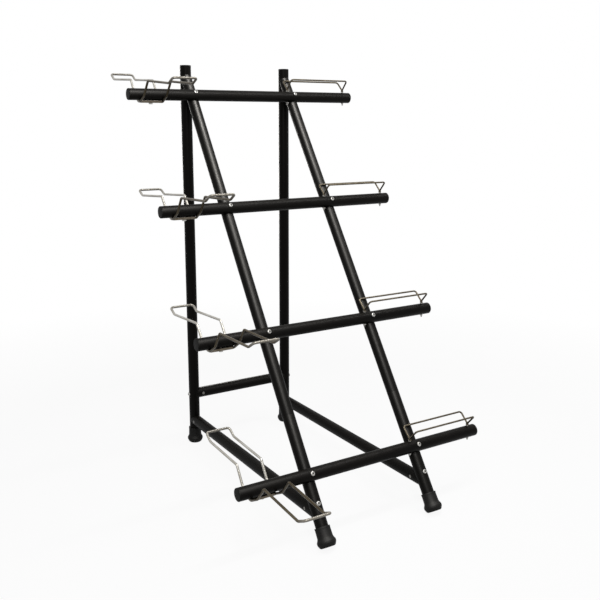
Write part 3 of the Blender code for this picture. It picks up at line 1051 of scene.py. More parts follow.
@dataclass
class Plan:
    """Main sizes of the stand and the places that follow from them, in metres."""

    tube_outer: float = 0.020
    tube_wall: float = 0.002
    tube_edge: float = 0.0003
    cope_trim: float = 0.006
    leg_spacing: float = 0.415
    height: float = 1.450
    post_above_legs: float = 0.0395
    leg_tilt: float = math.radians(34.0)
    crossbar_height: float = 0.199
    rail_height: float = 0.093
    first_bar_at: float = 0.0964
    last_bar_above_rail: float = 0.1126
    bar_length: float = 0.924
    bar_shift: float = 0.007
    splice_above_last_bar: float = 0.192
    cap_thickness: float = 0.003
    foot_sole: float = 0.008
    foot_flat: float = 0.002
    foot_base_radius: float = 0.021
    barrel_beyond_post: float = 0.012
    barrel_beyond_leg: float = 0.0225
    gap: float = 0.0003
    cutter_beyond: float = 0.1
    cradle_tilts: tuple[float, ...] = (4.0, -2.5, -2.0, 3.0)

    def __post_init__(self) -> None:
        """Work out the directions of the legs and where the stand's own origin lies in the frame."""
        self.tube_inner = self.tube_outer - self.tube_wall
        self.seat = self.tube_outer + self.gap
        self.leg_x = self.leg_spacing / 2
        self.apex = self.height - self.post_above_legs
        self.leg_down = Vector((0, -math.sin(self.leg_tilt), -math.cos(self.leg_tilt)))
        self.leg_front = Vector((0, -math.cos(self.leg_tilt), math.sin(self.leg_tilt)))
        self.post_barrel = self.tube_outer + self.barrel_beyond_post
        self.rail_barrel = self.tube_outer / math.cos(self.leg_tilt) + self.barrel_beyond_leg
        self.leg_bolt_height = self.apex - self.post_barrel / math.tan(self.leg_tilt)
        low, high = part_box("post_left")
        other_low, other_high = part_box("post_right")
        middle = (low + high + other_low + other_high) / 4
        self.origin = Vector((middle.x, middle.y, 0))

    def at(self, x: float, y: float, z: float) -> Vector:
        """Return a point given from the floor midway between the posts."""
        return self.origin + Vector((x, y, z))

    def leg_point(self, side: int, distance: float) -> Vector:
        """Return the point on a leg's axis at a distance down from where it meets the post's axis."""
        return self.at(side * self.leg_x, 0, self.apex) + self.leg_down * distance

    def leg_distance(self, height: float) -> float:
        """Return the distance down the leg at which its axis is at a height."""
        return (self.apex - height) / math.cos(self.leg_tilt)

    def bar_distances(self) -> list[float]:
        """Space the bars evenly.

        Returns:
            The distance of each bar down the leg.
        """
        last = self.leg_distance(self.rail_height) - self.last_bar_above_rail
        pitch = (last - self.first_bar_at) / (len(self.cradle_tilts) - 1)
        return [self.first_bar_at + pitch * index for index in range(len(self.cradle_tilts))]

    def bar_middles(self) -> list[Vector]:
        """Return the point midway between the legs on the axis of each bar."""
        return [self.leg_point(0, distance) + self.leg_front * self.tube_outer
                for distance in self.bar_distances()]

    def foot_seat(self) -> float:
        """Return the distance down the leg to the bottom of its foot."""
        return self.leg_distance(self.foot_base_radius * math.sin(self.leg_tilt) - self.foot_flat)

    def tube(self, name: str, length: float) -> Mesh:
        """Make a tube along Z from the origin, with its edges eased.

        Args:
            name: Name of the mesh.
            length: Its length.

        Returns:
            The tube.
        """
        outer, inner, edge = self.tube_outer, self.tube_inner, self.tube_edge
        rows = [(outer, 0, edge), (outer, length, edge), (inner, length, edge), (inner, 0, edge)]
        return turned(name, rounded_outline(rows, closed=True), TUBE_SIDES, closed=True)

    def post_clearance(self, side: int) -> Mesh:
        """Return the cutter that clears a post."""
        mesh = rod("post_clearance", self.seat, -self.cutter_beyond, self.height + self.cutter_beyond)
        return moved(mesh, self.at(side * self.leg_x, 0, 0), OFF_FACETS)

    def leg_clearance(self, side: int) -> Mesh:
        """Return the cutter that clears a leg."""
        mesh = rod("leg_clearance", self.seat, -2 * self.cutter_beyond, self.foot_seat() + self.cutter_beyond)
        return moved(mesh, self.leg_point(side, 0), facing(self.leg_down) @ OFF_FACETS)

    def hole(self, start: Vector, axis: Vector, length: float, radius: float) -> Mesh:
        """Return the cutter for a round hole from start along axis."""
        cutter = rod("hole", radius + self.gap, 0, length, BOLT_SIDES)
        return moved(cutter, start, facing(axis) @ OFF_FACETS)

    def cross_hole(self, middle: Vector, axis: Vector, radius: float) -> Mesh:
        """Return the cutter for a round hole right through a tube at a point of its axis."""
        return self.hole(middle - axis * 2 * self.tube_outer, axis, 4 * self.tube_outer, radius)


@dataclass
class Fastener:
    """Round headed screws, their nuts and the barrel nuts they screw into."""

    plan: Plan
    shank: float = 0.004
    edge: float = 0.0003
    head: float = 0.00725
    head_height: float = 0.0046
    head_rim: float = 0.0014
    dome_steps: int = 10
    dome_end: float = 1.32
    socket_flats: float = 0.0024
    socket_rim: float = 1.24
    socket_depth: float = 0.0026
    socket_cone: float = 0.0006
    socket_margin: tuple[float, float] = (0.001, 1.2)
    # Band round the head's foot where painted shade lies in the crevice, and its share.
    foot_band: tuple[float, float] = (0.5, 0.9)
    foot_painted_shade: float = 0.75
    nut_flats: float = 0.0065
    nut_height: float = 0.0065
    nut_face: float = 0.96
    nut_chamfer: float = math.radians(30)
    nut_shares: tuple[float, ...] = (0.0, 0.35, 0.7, 1.0)
    thread_end: float = 0.003
    thread_pitch: float = 0.00125
    thread_start: float = 0.0007
    thread_tip: tuple[tuple[float, float], ...] = ((0.0, 0.0), (0.72, 0.0), (0.9, 0.0005))
    thread_turn: tuple[tuple[float, float], ...] = ((1.0, 0.3), (1.0, 0.45), (0.87, 1.0))
    barrel: float = 0.0055
    barrel_edge: float = 0.0006
    barrel_slot: float = 0.0009
    # Share of painted shade on the barrel nut, down in its hole.
    barrel_painted_shade: float = 0.6

    def head_outline(self, base: float) -> Outline:
        """Outline a domed head with a hexagon socket.

        Args:
            base: Height of the head's underside.

        Returns:
            Rows from the shank to the socket's floor.
        """
        rows: Outline = [(self.shank, base), (self.head - self.edge, base), (self.head, base + self.edge)]
        for step in range(self.dome_steps + 1):
            angle = math.pi / 2 * step / self.dome_steps
            height = self.head_rim + (self.head_height - self.head_rim) * math.sin(angle)
            radius = self.head * math.cos(angle)
            if radius > self.socket_flats * self.dome_end:
                rows.append((radius, base + height))
        crown = base + self.head_height
        rows.append((self.socket_flats * self.socket_rim, crown))
        rows.append((self.socket_flats, crown - self.edge, Ring.HEXAGON))
        rows.append((self.socket_flats, crown - self.socket_depth, Ring.HEXAGON))
        rows.append((0, crown - self.socket_depth - self.socket_cone))
        return rows

    def head_painted_shade(self, point: Vector) -> float:
        """Tell how much painted shade a head that sits on the origin takes, in its socket and round its foot.

        Args:
            point: A point of the head.

        Returns:
            The painted shade there, from 0 to 1.
        """
        out = math.hypot(point.x, point.y)
        below, wider = self.socket_margin
        if point.z > self.head_height - self.socket_depth - below and out < self.socket_flats * wider:
            return 1.0
        high, wide = self.foot_band
        return self.foot_painted_shade if 0 <= point.z < self.head_rim * high and out > self.head * wide else 0.0

    def thread_outline(self, top: float, tip: float, radius: float, pitch: float) -> Outline:
        """Outline a threaded end.

        Args:
            top: Where the thread starts.
            tip: Where the bolt ends.
            radius: Radius of the bolt.
            pitch: Pitch of the thread.

        Returns:
            Rows from the tip up to the thread's start.
        """
        rows: Outline = [(radius * share, tip + rise) for share, rise in self.thread_tip]
        height = tip + self.thread_start
        while height + pitch < top:
            rows += [(radius * share, height + pitch * rise) for share, rise in self.thread_turn]
            height += pitch
        return rows + [(radius, top)]

    def nut_outline(self, base: float, flats: float, height: float) -> Outline:
        """Outline a chamfered hexagon nut that hangs down from base.

        Args:
            base: Height of the nut's upper face.
            flats: Half its size across flats.
            height: Its height.

        Returns:
            Rows, read upwards.
        """
        face = flats * self.nut_face
        corner = flats / math.cos(math.pi / 6)
        limits = [face + (corner - face) * share for share in self.nut_shares]
        cuts = [(limit, (limit - face) * math.tan(self.nut_chamfer)) for limit in limits]
        lower = [(flats, base - height + cut, Ring.CHAMFERED, limit) for limit, cut in cuts]
        return lower + [(flats, base - cut, Ring.CHAMFERED, limit) for limit, cut in cuts[::-1]]

    def through_bolt(self, grip: float) -> Mesh:
        """Make a bolt along Z whose head sits on the origin.

        Args:
            grip: How far down its nut is.

        Returns:
            The bolt with its nut.
        """
        tip = -grip - self.nut_height - self.thread_end
        rows = self.thread_outline(-grip - self.nut_height, tip, self.shank, self.thread_pitch)
        rows += self.nut_outline(-grip, self.nut_flats, self.nut_height)
        rows.append((self.shank, -grip))
        return with_painted_shade(turned("through_bolt", rows + self.head_outline(0), BOLT_SIDES), self.head_painted_shade)

    def barrel_bolt(self, length: float, across: Vector) -> Mesh:
        """Make a bolt along Z with its head on the origin and a barrel nut at its end.

        Args:
            length: How far down the barrel nut is.
            across: Direction of the barrel.

        Returns:
            The bolt with its barrel nut.
        """
        half = math.sqrt(self.plan.tube_outer ** 2 - self.barrel ** 2)
        slot = self.barrel_slot
        spot = (Vector((0, 0, -length)), facing(across))
        rows = [(0, -length), (self.shank, -length)] + self.head_outline(self.plan.gap)
        shank = with_painted_shade(turned("shank", rows, BOLT_SIDES), self.head_painted_shade)
        rows = [(0, -half, 0), (self.barrel, -half, self.barrel_edge), (self.barrel, half, self.barrel_edge),
                (0, half, 0)]
        barrel = moved(turned("barrel", rounded_outline(rows), BOLT_SIDES), *spot)
        size = Vector((slot, 3 * self.barrel, 2 * slot))
        cuts = [moved(block("slot", size, Vector((0, 0, end * half))), *spot) for end in (-1, 1)]
        # The barrel nut takes painted shade all over, for its place down in the tube's hole.
        barrel = with_painted_shade(carved(barrel, cuts), lambda point: self.barrel_painted_shade)
        return joined("barrel_bolt", [shank, barrel])


@dataclass
class Assembly:
    """What every sub-assembly is built from."""

    plan: Plan
    palette: Palette
    trees: Trees
    fastener: Fastener

    def finish_tube(self, node: str, mesh: Mesh) -> None:
        """Dress a tube and put it in place of its node."""
        hand_over(f"{node}_tube", dressed(mesh, self.palette.coat), Slot.COAT, [node])


@dataclass
class FrameTubes(Assembly):
    """Posts, legs, rails and crossbar."""

    def build_posts(self) -> None:
        """Build both posts."""
        plan = self.plan
        sole = plan.foot_sole + plan.gap
        for word, side in SIDES:
            foot = plan.at(side * plan.leg_x, 0, sole)
            mesh = moved(plan.tube("post", plan.height - plan.cap_thickness - sole), foot)
            holes = [(height, -AXIS_Y) for height in (plan.rail_height, plan.leg_bolt_height)]
            holes.append((plan.crossbar_height, AXIS_X * -side))
            cuts = [plan.cross_hole(plan.at(side * plan.leg_x, 0, height), axis, self.fastener.shank)
                    for height, axis in holes]
            self.finish_tube(f"post_{word}", carved(mesh, cuts))

    def build_crossbar(self) -> None:
        """Build the low bar between the posts."""
        plan = self.plan
        mesh = moved(plan.tube("crossbar", plan.leg_spacing - 2 * plan.cope_trim),
                     plan.at(plan.cope_trim - plan.leg_x, 0, plan.crossbar_height), facing(AXIS_X, AXIS_Z))
        cuts = []
        for _, side in SIDES:
            cuts.append(plan.post_clearance(side))
            spot = plan.at(side * (plan.leg_x - plan.post_barrel), 0, plan.crossbar_height)
            cuts.append(plan.cross_hole(spot, AXIS_Y, self.fastener.barrel))
        self.finish_tube("crossbar", carved(mesh, cuts))

    def build_rails(self) -> None:
        """Build the low rails from the posts to the legs."""
        plan = self.plan
        trim = plan.cope_trim
        for word, side in SIDES:
            front = plan.leg_point(side, plan.leg_distance(plan.rail_height))
            back = plan.at(side * plan.leg_x, 0, plan.rail_height)
            tube = plan.tube("rail", (back - front).length - 2 * trim)
            mesh = moved(tube, front + AXIS_Y * trim, facing(AXIS_Y))
            cuts = [plan.post_clearance(side), plan.leg_clearance(side)]
            for spot in (front + AXIS_Y * plan.rail_barrel, back - AXIS_Y * plan.post_barrel):
                cuts.append(plan.cross_hole(spot, AXIS_X, self.fastener.barrel))
            self.finish_tube(f"base_rail_{word}", carved(mesh, cuts))

    def build_legs(self) -> None:
        """Build the upper and lower length of each leg, and dress the sleeves inside them."""
        plan = self.plan
        end = plan.foot_seat() - plan.foot_sole - plan.gap
        splice = plan.bar_distances()[-1] - plan.splice_above_last_bar
        rail_bolt = plan.leg_distance(plan.rail_height) - plan.rail_barrel * math.sin(plan.leg_tilt)
        turn = facing(plan.leg_down)
        for word, side in SIDES:
            upper = moved(plan.tube("leg_upper", splice - plan.gap), plan.leg_point(side, 0), turn)
            lower = moved(plan.tube("leg_lower", end - splice), plan.leg_point(side, splice), turn)
            upper_cuts = [plan.post_clearance(side)]
            lower_cuts = []
            for distance in (*plan.bar_distances(), rail_bolt):
                cut = plan.cross_hole(plan.leg_point(side, distance), -plan.leg_front, self.fastener.shank)
                (upper_cuts if distance < splice else lower_cuts).append(cut)
            self.finish_tube(f"leg_upper_{word}", carved(upper, upper_cuts))
            self.finish_tube(f"leg_lower_{word}", carved(lower, lower_cuts))
            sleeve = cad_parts[f"leg_splice_{word}"]
            sleeve.data.materials.clear()
            sleeve.data.materials.append(self.palette.coat)

    def build(self) -> None:
        """Build every frame tube."""
        self.build_posts()
        self.build_crossbar()
        self.build_rails()
        self.build_legs()


@dataclass
class FrameBolts(Assembly):
    """Bolts with barrel nuts that hold the frame's tubes together."""

    def build(self) -> None:
        """Build the bolts, like ones as copies of one pattern."""
        plan = self.plan
        spots = []
        nodes = []
        for word, side in SIDES:
            outer = plan.at(side * (plan.leg_x + plan.tube_outer), 0, plan.crossbar_height)
            spots.append((outer, facing(AXIS_X * side, AXIS_Z)))
            nodes.append(f"crossbar_bolt_{word}")
            heights = {"rail_rear_bolt": plan.rail_height, "leg_top_bolt": plan.leg_bolt_height}
            for name, height in heights.items():
                spots.append((plan.at(side * plan.leg_x, plan.tube_outer, height), facing(AXIS_Y, AXIS_Z)))
                nodes.append(f"{name}_{word}")
        pattern = self.fastener.barrel_bolt(plan.tube_outer + plan.post_barrel, AXIS_Y)
        mesh = self.trees.copies("frame_bolt", pattern, spots, self.palette.zinc)
        hand_over("frame_bolts", mesh, Slot.ZINC, nodes)
        length = plan.rail_barrel * math.cos(plan.leg_tilt) + plan.tube_outer
        spots = []
        for _, side in SIDES:
            barrel = plan.leg_point(side, plan.leg_distance(plan.rail_height)) + AXIS_Y * plan.rail_barrel
            spots.append((barrel + plan.leg_front * length, facing(plan.leg_front)))
        pattern = self.fastener.barrel_bolt(length, AXIS_X)
        mesh = self.trees.copies("rail_bolt", pattern, spots, self.palette.zinc)
        hand_over("rail_bolts", mesh, Slot.ZINC, [f"rail_front_bolt_{word}" for word, _ in SIDES])


@dataclass
class EndCaps(Assembly):
    """Push-in caps of the posts and bars."""

    edge: float = 0.0022
    lip: tuple[float, float] = (0.0002, 0.0003)
    plug: float = 0.015
    plug_chamfer: tuple[float, float] = (0.0008, 0.002)
    rib_margin: float = 0.004
    rib_pitch: float = 0.0028
    rib: tuple[tuple[float, float], ...] = ((0.0, 0.0), (0.0006, 0.0010), (0.0006, 0.0018))

    def pattern(self) -> Mesh:
        """Make one cap along Z, with its flange on the origin.

        Returns:
            The cap.
        """
        plan = self.plan
        plug = plan.tube_inner - plan.gap
        flange = plan.tube_outer
        inset, rise = self.plug_chamfer
        rows = [(0, -self.plug, 0), (plug - inset, -self.plug, 0), (plug, -self.plug + rise, 0)]
        height = -self.plug + self.rib_margin
        while height < -self.rib_margin:
            rows += [(plug - depth, height + above, 0) for depth, above in self.rib]
            height += self.rib_pitch
        inset, rise = self.lip
        rows += [(plug, plan.gap, 0), (flange - inset, plan.gap, 0), (flange, plan.gap + rise, 0)]
        rows += [(flange, plan.cap_thickness, self.edge), (0.0, plan.cap_thickness, 0)]
        return turned("cap", rounded_outline(rows), ROUND_SIDES)

    def build(self) -> None:
        """Build the post caps and the bar caps."""
        plan = self.plan
        top = plan.height - plan.cap_thickness
        spots = [(plan.at(side * plan.leg_x, 0, top), Matrix.Identity(4)) for _, side in SIDES]
        mesh = self.trees.copies("post_cap", self.pattern(), spots, self.palette.cap)
        hand_over("post_caps", mesh, Slot.PLASTIC, [f"post_cap_{word}" for word, _ in SIDES])
        outer = plan.bar_length / 2 - plan.cap_thickness
        spots = []
        nodes = []
        for number, middle in enumerate(plan.bar_middles(), 1):
            for word, side in SIDES:
                place = middle + AXIS_X * (plan.bar_shift + side * outer)
                spots.append((place, facing(AXIS_X * side, plan.leg_front)))
                nodes.append(f"bar_cap_{number}_{word}")
        mesh = self.trees.copies("bar_cap", self.pattern(), spots, self.palette.cap)
        hand_over("bar_caps", mesh, Slot.PLASTIC, nodes)


@dataclass
class Feet(Assembly):
    """Rubber ferrules on the posts and legs."""

    height: float = 0.060
    wall: float = 0.0032
    groove_starts: tuple[float, ...] = (0.006, 0.0125)
    groove: tuple[tuple[float, float], ...] = ((0.0, 0.0), (0.0005, 0.0006), (0.0025, 0.0006), (0.003, 0.0))
    heel: float = 0.0235
    heel_round: float = 0.007
    bulge: float = 0.0059
    rim_height: float = 0.016
    rim_land: float = 0.004
    rim_rounds: tuple[float, float] = (0.008, 0.003)
    flare: float = 0.0008
    shoulder: float = 0.028
    shoulder_round: float = 0.012
    neck: tuple[float, float, float] = (0.0002, 0.0062, 0.001)
    lip: float = 0.0006
    lip_height: float = 0.0052
    lip_rounds: tuple[float, float, float] = (0.0005, 0.0010, 0.0006)
    ground: tuple[float, float, float] = (0.2, 0.2, 0.1)

    def pattern(self) -> Mesh:
        """Make one ferrule along Z, standing on the origin.

        Returns:
            The ferrule.
        """
        seat, sole = self.plan.seat, self.plan.foot_sole
        sleeve = seat + self.wall
        rim = sleeve + self.bulge
        lower_round, upper_round = self.rim_rounds
        neck_out, neck_below, neck_round = self.neck
        foot_round, lip_round, mouth_round = self.lip_rounds
        rows = [(0, 0, 0)]
        for start in self.groove_starts:
            rows += [(start + out, depth, 0) for out, depth in self.groove]
        rows += [(self.heel, 0, self.heel_round), (rim, self.rim_height - self.rim_land, lower_round)]
        rows += [(rim, self.rim_height + self.rim_land / 2, upper_round)]
        rows += [(sleeve + self.flare, self.shoulder, self.shoulder_round)]
        rows += [(sleeve + neck_out, self.height - neck_below, neck_round)]
        rows += [(sleeve + self.lip, self.height - self.lip_height, foot_round)]
        rows += [(sleeve + self.lip, self.height, lip_round), (seat, self.height, mouth_round)]
        rows += [(seat, sole, 0), (0, sole, 0)]
        return turned("ferrule", rounded_outline(rows), ROUND_SIDES)

    def finish(self, end: str, word: str, mesh: Mesh) -> None:
        """Dress a ferrule and put it in place of its node."""
        mesh = dressed(mesh, self.palette.rubber)
        hand_over(f"{end}_ferrule_{word}", mesh, Slot.RUBBER, [f"foot_{end}_{word}"])

    def build(self) -> None:
        """Build the four feet, the front ones cut flat where they are pressed on the floor."""
        plan = self.plan
        for word, side in SIDES:
            self.finish("rear", word, moved(self.pattern(), plan.at(side * plan.leg_x, 0, 0)))
            seat = plan.leg_point(side, plan.foot_seat())
            ground = block("ground", Vector(self.ground), Vector((seat.x, seat.y, -self.ground[2] / 2)))
            ferrule = moved(self.pattern(), seat, facing(-plan.leg_down))
            self.finish("front", word, carved(ferrule, [ground]))


@dataclass
class Cradle(Assembly):
    """Wire loop that a load's rear end rests in, with the tie and bolt that hold it under its bar."""

    rod: float = 0.004
    inset: float = 0.083
    width: float = 0.082
    base_reach: float = 0.009
    elbow: tuple[float, float] = (0.046, -0.002)
    knee: tuple[float, float] = (0.082, 0.047)
    kink: tuple[float, float] = (0.262, 0.044)
    tip: tuple[float, float] = (0.294, 0.062)
    bends: tuple[float, float, float, float, float] = (0.010, 0.020, 0.009, 0.015, 0.012)
    strip_width: float = 0.024
    strip_edge: float = 0.0008
    bead_length: float = 0.016
    bead_radius: float = 0.0013
    bead_place: tuple[float, float] = (0.82, 0.72)
    insert_radius: float = 0.006
    insert_length: float = 0.012
    dish_depth: float = 0.0004
    dish: tuple[float, float] = (0.55, 0.62)
    drawn_under: float = 0.00007
    # Share of painted dark reflection by place fore and aft on the loop: the front arms dark, the rear arms
    # left bright.
    dark_reflection: tuple[tuple[float, float], ...] = ((-0.29, 0.55), (-0.27, 1.0), (-0.02, 1.0), (0.03, 0.1),
                                                (0.26, 0.05), (0.29, 0.45))

    def __post_init__(self) -> None:
        """Work out the height of the loop's lowest run, from the bar's axis."""
        self.under = -(self.plan.seat + self.rod)

    def spots(self) -> list[tuple[Vector, Matrix]]:
        """Place the cradles.

        Returns:
            Place and turn of each, from the top bar down.
        """
        along = AXIS_X * (self.plan.bar_shift - self.plan.bar_length / 2 + self.inset)
        turns = [Matrix.Rotation(math.radians(tilt), 4, "X") for tilt in self.plan.cradle_tilts]
        return [(middle + along, turn) for middle, turn in zip(self.plan.bar_middles(), turns)]

    def path(self) -> list[Vector]:
        """Lay out the loop.

        Returns:
            Points round it.
        """
        half = self.width / 2
        corners = (self.tip, self.kink, self.knee, self.elbow, (self.base_reach, self.under))
        arm = [(*corner, bend) for corner, bend in zip(corners, self.bends)]
        run = [(-y, z, bend) for y, z, bend in arm] + arm[::-1]
        loop = [Vector((-half, y, z)) for y, z, _ in run] + [Vector((half, y, z)) for y, z, _ in run[::-1]]
        return rounded_path(loop, [bend for _, _, bend in run + run[::-1]], cyclic=True)

    def bolt(self) -> Mesh:
        """Make the hexagon headed bolt and the insert it screws into, along Z from the bar's axis.

        Returns:
            The bolt and insert.
        """
        plan = self.plan
        fastener = self.fastener
        under = -(plan.seat + 2 * self.rod + plan.gap)
        base = plan.gap - math.sqrt(plan.tube_inner ** 2 - self.insert_radius ** 2)
        head = fastener.nut_outline(under, fastener.nut_flats, fastener.head_height)
        lowest = head[0][1]
        inner, outer = (fastener.nut_flats * share for share in self.dish)
        rows = [(0, lowest + self.dish_depth), (inner, lowest + self.dish_depth), (outer, lowest), *head]
        rows += [(fastener.shank, under), (fastener.shank, base), (self.insert_radius, base)]
        rows += [(self.insert_radius, base + self.insert_length), (0, base + self.insert_length)]
        return turned("cradle_bolt", rows, BOLT_SIDES)

    def tie(self) -> list[Mesh]:
        """Make the flat tie between the loop's lowest runs, with its weld beads.

        Returns:
            The tie and the beads.
        """
        size = Vector((self.width - self.rod, self.strip_width, 2 * self.rod - self.plan.gap))
        strip = block("strip", size, Vector((0, 0, self.under)), self.strip_edge)
        radius = self.fastener.shank + self.plan.gap
        hole = rod("strip_hole", radius, self.under - 2 * self.rod, 0, BOLT_SIDES)
        parts = [dressed(carved(strip, [hole]), self.palette.tie)]
        inward, upward = (self.rod * share for share in self.bead_place)
        for side in (-1, 1):
            for face in (-1, 1):
                ends = [Vector((side * (self.width / 2 - inward), end * self.bead_length / 2,
                                self.under + face * upward)) for end in (-1, 1)]
                parts.append(self.trees.weld(ends, self.bead_radius, self.palette.weld))
        return parts

    def build(self) -> None:
        """Build the cradle and bolt of every bar."""
        for number, spot in enumerate(self.spots(), 1):
            radius = self.rod - self.drawn_under
            wire = self.trees.wire("loop", self.path(), radius, self.palette.wire, cyclic=True)
            # The loop takes painted dark reflection by its place fore and aft.
            wire = with_painted_shade(wire, lambda point: between(self.dark_reflection, point.y))
            mesh = moved(joined("cradle", [wire, *self.tie()]), *spot)
            hand_over(f"cradle_{number}_wire", mesh, Slot.WIRE, [f"cradle_{number}"])
            bolt = moved(dressed(self.bolt(), self.palette.zinc), *spot)
            hand_over(f"cradle_{number}_bolt", bolt, Slot.ZINC, [f"cradle_bolt_{number}"])


@dataclass
class Trough(Assembly):
    """Two wire bows on a pair of studs, which a load's front end stands between."""

    rod: float = 0.003
    inset: float = 0.030
    half_width: float = 0.0325
    top: float = 0.062
    neck: float = 0.031
    foot_rise: float = 0.0015
    lap: float = 0.0012
    tilt: float = math.radians(2.5)
    bend: float = 0.009
    neck_bend: float = 0.006
    stud: float = 0.0025
    stud_end: float = 0.0055
    stud_pitch: float = 0.0008
    collar: float = 0.0045
    collar_height: float = 0.004
    collar_edges: tuple[float, float] = (0.0002, 0.0006)
    nut_flats: float = 0.004
    nut_height: float = 0.004
    bead_radius: float = 0.0011
    bead_points: int = 24
    bead_place: tuple[float, float, float] = (0.0002, 0.0001, 0.0004)
    # Share of painted dark reflection over the whole of both bows.
    dark_reflection: float = 0.95

    def stud_places(self) -> tuple[float, float]:
        """Return where the studs stand along the bar, from midway between the legs."""
        inner = self.plan.leg_x - self.plan.tube_outer - self.nut_flats - self.plan.gap
        return inner, self.plan.bar_shift + self.plan.bar_length / 2 - self.inset

    def bow(self, sign: int) -> list[Vector]:
        """Lay out one bow.

        Args:
            sign: -1 for the front bow and 1 for the back one.

        Returns:
            Points from the inner stud to the outer one.
        """
        neck = sign * (self.rod - self.lap / 2)
        profile = [(neck, self.plan.seat + self.foot_rise, 0.0), (neck, self.neck, self.neck_bend),
                   (sign * self.half_width, self.top, self.bend)]
        runs = list(zip(self.stud_places(), (profile, profile[::-1])))
        corners = [Vector((x, y, z)) for x, run in runs for y, z, _ in run]
        return rounded_path(corners, [bend for _, run in runs for _, _, bend in run])

    def stud_mesh(self) -> Mesh:
        """Make a stud through the bar, with its collar above and its nut below.

        Returns:
            The stud.
        """
        seat = self.plan.seat
        crown = seat + self.collar_height
        lower, upper = self.collar_edges
        tip = -seat - self.nut_height - self.stud_end
        rows = self.fastener.thread_outline(-seat - self.nut_height, tip, self.stud, self.stud_pitch)
        rows += self.fastener.nut_outline(-seat, self.nut_flats, self.nut_height)
        rows += [(self.stud, -seat), (self.stud, seat)]
        rows += [(self.collar - lower, seat), (self.collar, seat + lower)]
        rows += [(self.collar, crown - upper), (self.collar - upper, crown), (0, crown)]
        return turned("stud", rows, BOLT_SIDES)

    def weld_path(self, x: float) -> list[Vector]:
        """Lay out the oval round both bows' feet on a stud's collar.

        Args:
            x: Place of the stud along the bar.

        Returns:
            Points round the oval.
        """
        wider, longer, higher = self.bead_place
        across, along = self.rod + wider, self.rod * 2 + longer
        height = self.plan.seat + self.collar_height + higher
        angles = [2 * math.pi * step / self.bead_points for step in range(self.bead_points)]
        return [Vector((x + math.cos(angle) * across, math.sin(angle) * along, height)) for angle in angles]

    def build(self) -> None:
        """Build the trough of every bar."""
        turn = Matrix.Rotation(-self.tilt, 4, "X")
        for number, middle in enumerate(self.plan.bar_middles(), 1):
            parts = []
            for sign in (-1, 1):
                bow = self.trees.wire("bow", self.bow(sign), self.rod, self.palette.wire)
                # Both bows take painted dark reflection nearly all over.
                parts.append(with_painted_shade(bow, lambda point: self.dark_reflection))
            for x in self.stud_places():
                parts.append(dressed(moved(self.stud_mesh(), Vector((x, 0, 0))), self.palette.zinc))
                oval = self.weld_path(x)
                parts.append(self.trees.weld(oval, self.bead_radius, self.palette.weld, cyclic=True))
            mesh = moved(joined("trough", parts), middle, turn)
            hand_over(f"trough_{number}_wire", mesh, Slot.WIRE, [f"trough_{number}"])


@dataclass
class Bars(Assembly):
    """The four display bars and the bolts that hold them on the legs."""

    cradle: Cradle
    trough: Trough

    def build(self) -> None:
        """Build the bars and bolts."""
        plan = self.plan
        shank = self.fastener.shank
        outer = plan.bar_length / 2 - plan.cap_thickness
        grip = 2 * plan.seat + plan.tube_outer
        upright = Matrix.Rotation(-self.trough.tilt, 4, "X") @ AXIS_Z
        spots = []
        nodes = []
        places = zip(plan.bar_middles(), self.cradle.spots())
        for number, (middle, (over_cradle, tilt)) in enumerate(places, 1):
            start = middle + AXIS_X * (plan.bar_shift - outer)
            mesh = moved(plan.tube("bar", 2 * outer), start, facing(AXIS_X, plan.leg_front))
            cuts = []
            for word, side in SIDES:
                crest = middle + AXIS_X * side * plan.leg_x + plan.leg_front * plan.seat
                spots.append((crest, facing(plan.leg_front)))
                nodes.append(f"bar_bolt_{number}_{word}")
                cuts.append(plan.leg_clearance(side))
                above = crest + plan.leg_front * plan.tube_outer
                cuts.append(plan.hole(above, -plan.leg_front, 2 * grip, shank))
            cuts.append(plan.hole(over_cradle, tilt @ -AXIS_Z, 2 * plan.tube_outer, shank))
            for x in self.trough.stud_places():
                cuts.append(plan.cross_hole(middle + AXIS_X * x, upright, self.trough.stud))
            self.finish_tube(f"display_bar_{number}", carved(mesh, cuts))
        mesh = self.trees.copies("bar_bolt", self.fastener.through_bolt(grip), spots, self.palette.zinc)
        hand_over("bar_bolts", mesh, Slot.ZINC, nodes)


# Studio


@dataclass(frozen=True)
class Lamp:
    """A soft area lamp that looks at a point."""

    name: str
    place: tuple[float, float, float]
    target: tuple[float, float, float]
    along: tuple[float, float, float]
    size: tuple[float, float]
    power: float
    colour: Colour = (1.0, 1.0, 1.0)
    sheen_on: tuple[str, ...] = ()

    def build(self, black: Sequence[Object]) -> None:
        """Build the lamp.

        Args:
            black: The black pieces. A lamp with sheen_on gives sheen alone, and only to those whose names
                start so.
        """
        data = bpy.data.lights.new(self.name, "AREA")
        data.shape = "RECTANGLE"
        data.size, data.size_y = self.size
        data.energy = self.power
        data.color = self.colour
        obj = bpy.data.objects.new(self.name, data)
        place = Vector(self.place)
        turn = facing(place - Vector(self.target), Vector(self.along).normalized())
        obj.matrix_world = placed(place, turn)
        obj.visible_camera = False
        obj.visible_diffuse = not self.sheen_on
        bpy.context.scene.collection.objects.link(obj)
        if self.sheen_on:
            lit = bpy.data.collections.new(f"{self.name}_pieces")
            for piece in black:
                if piece.name.startswith(self.sheen_on):
                    lit.objects.link(piece)
            obj.light_linking.receiver_collection = lit


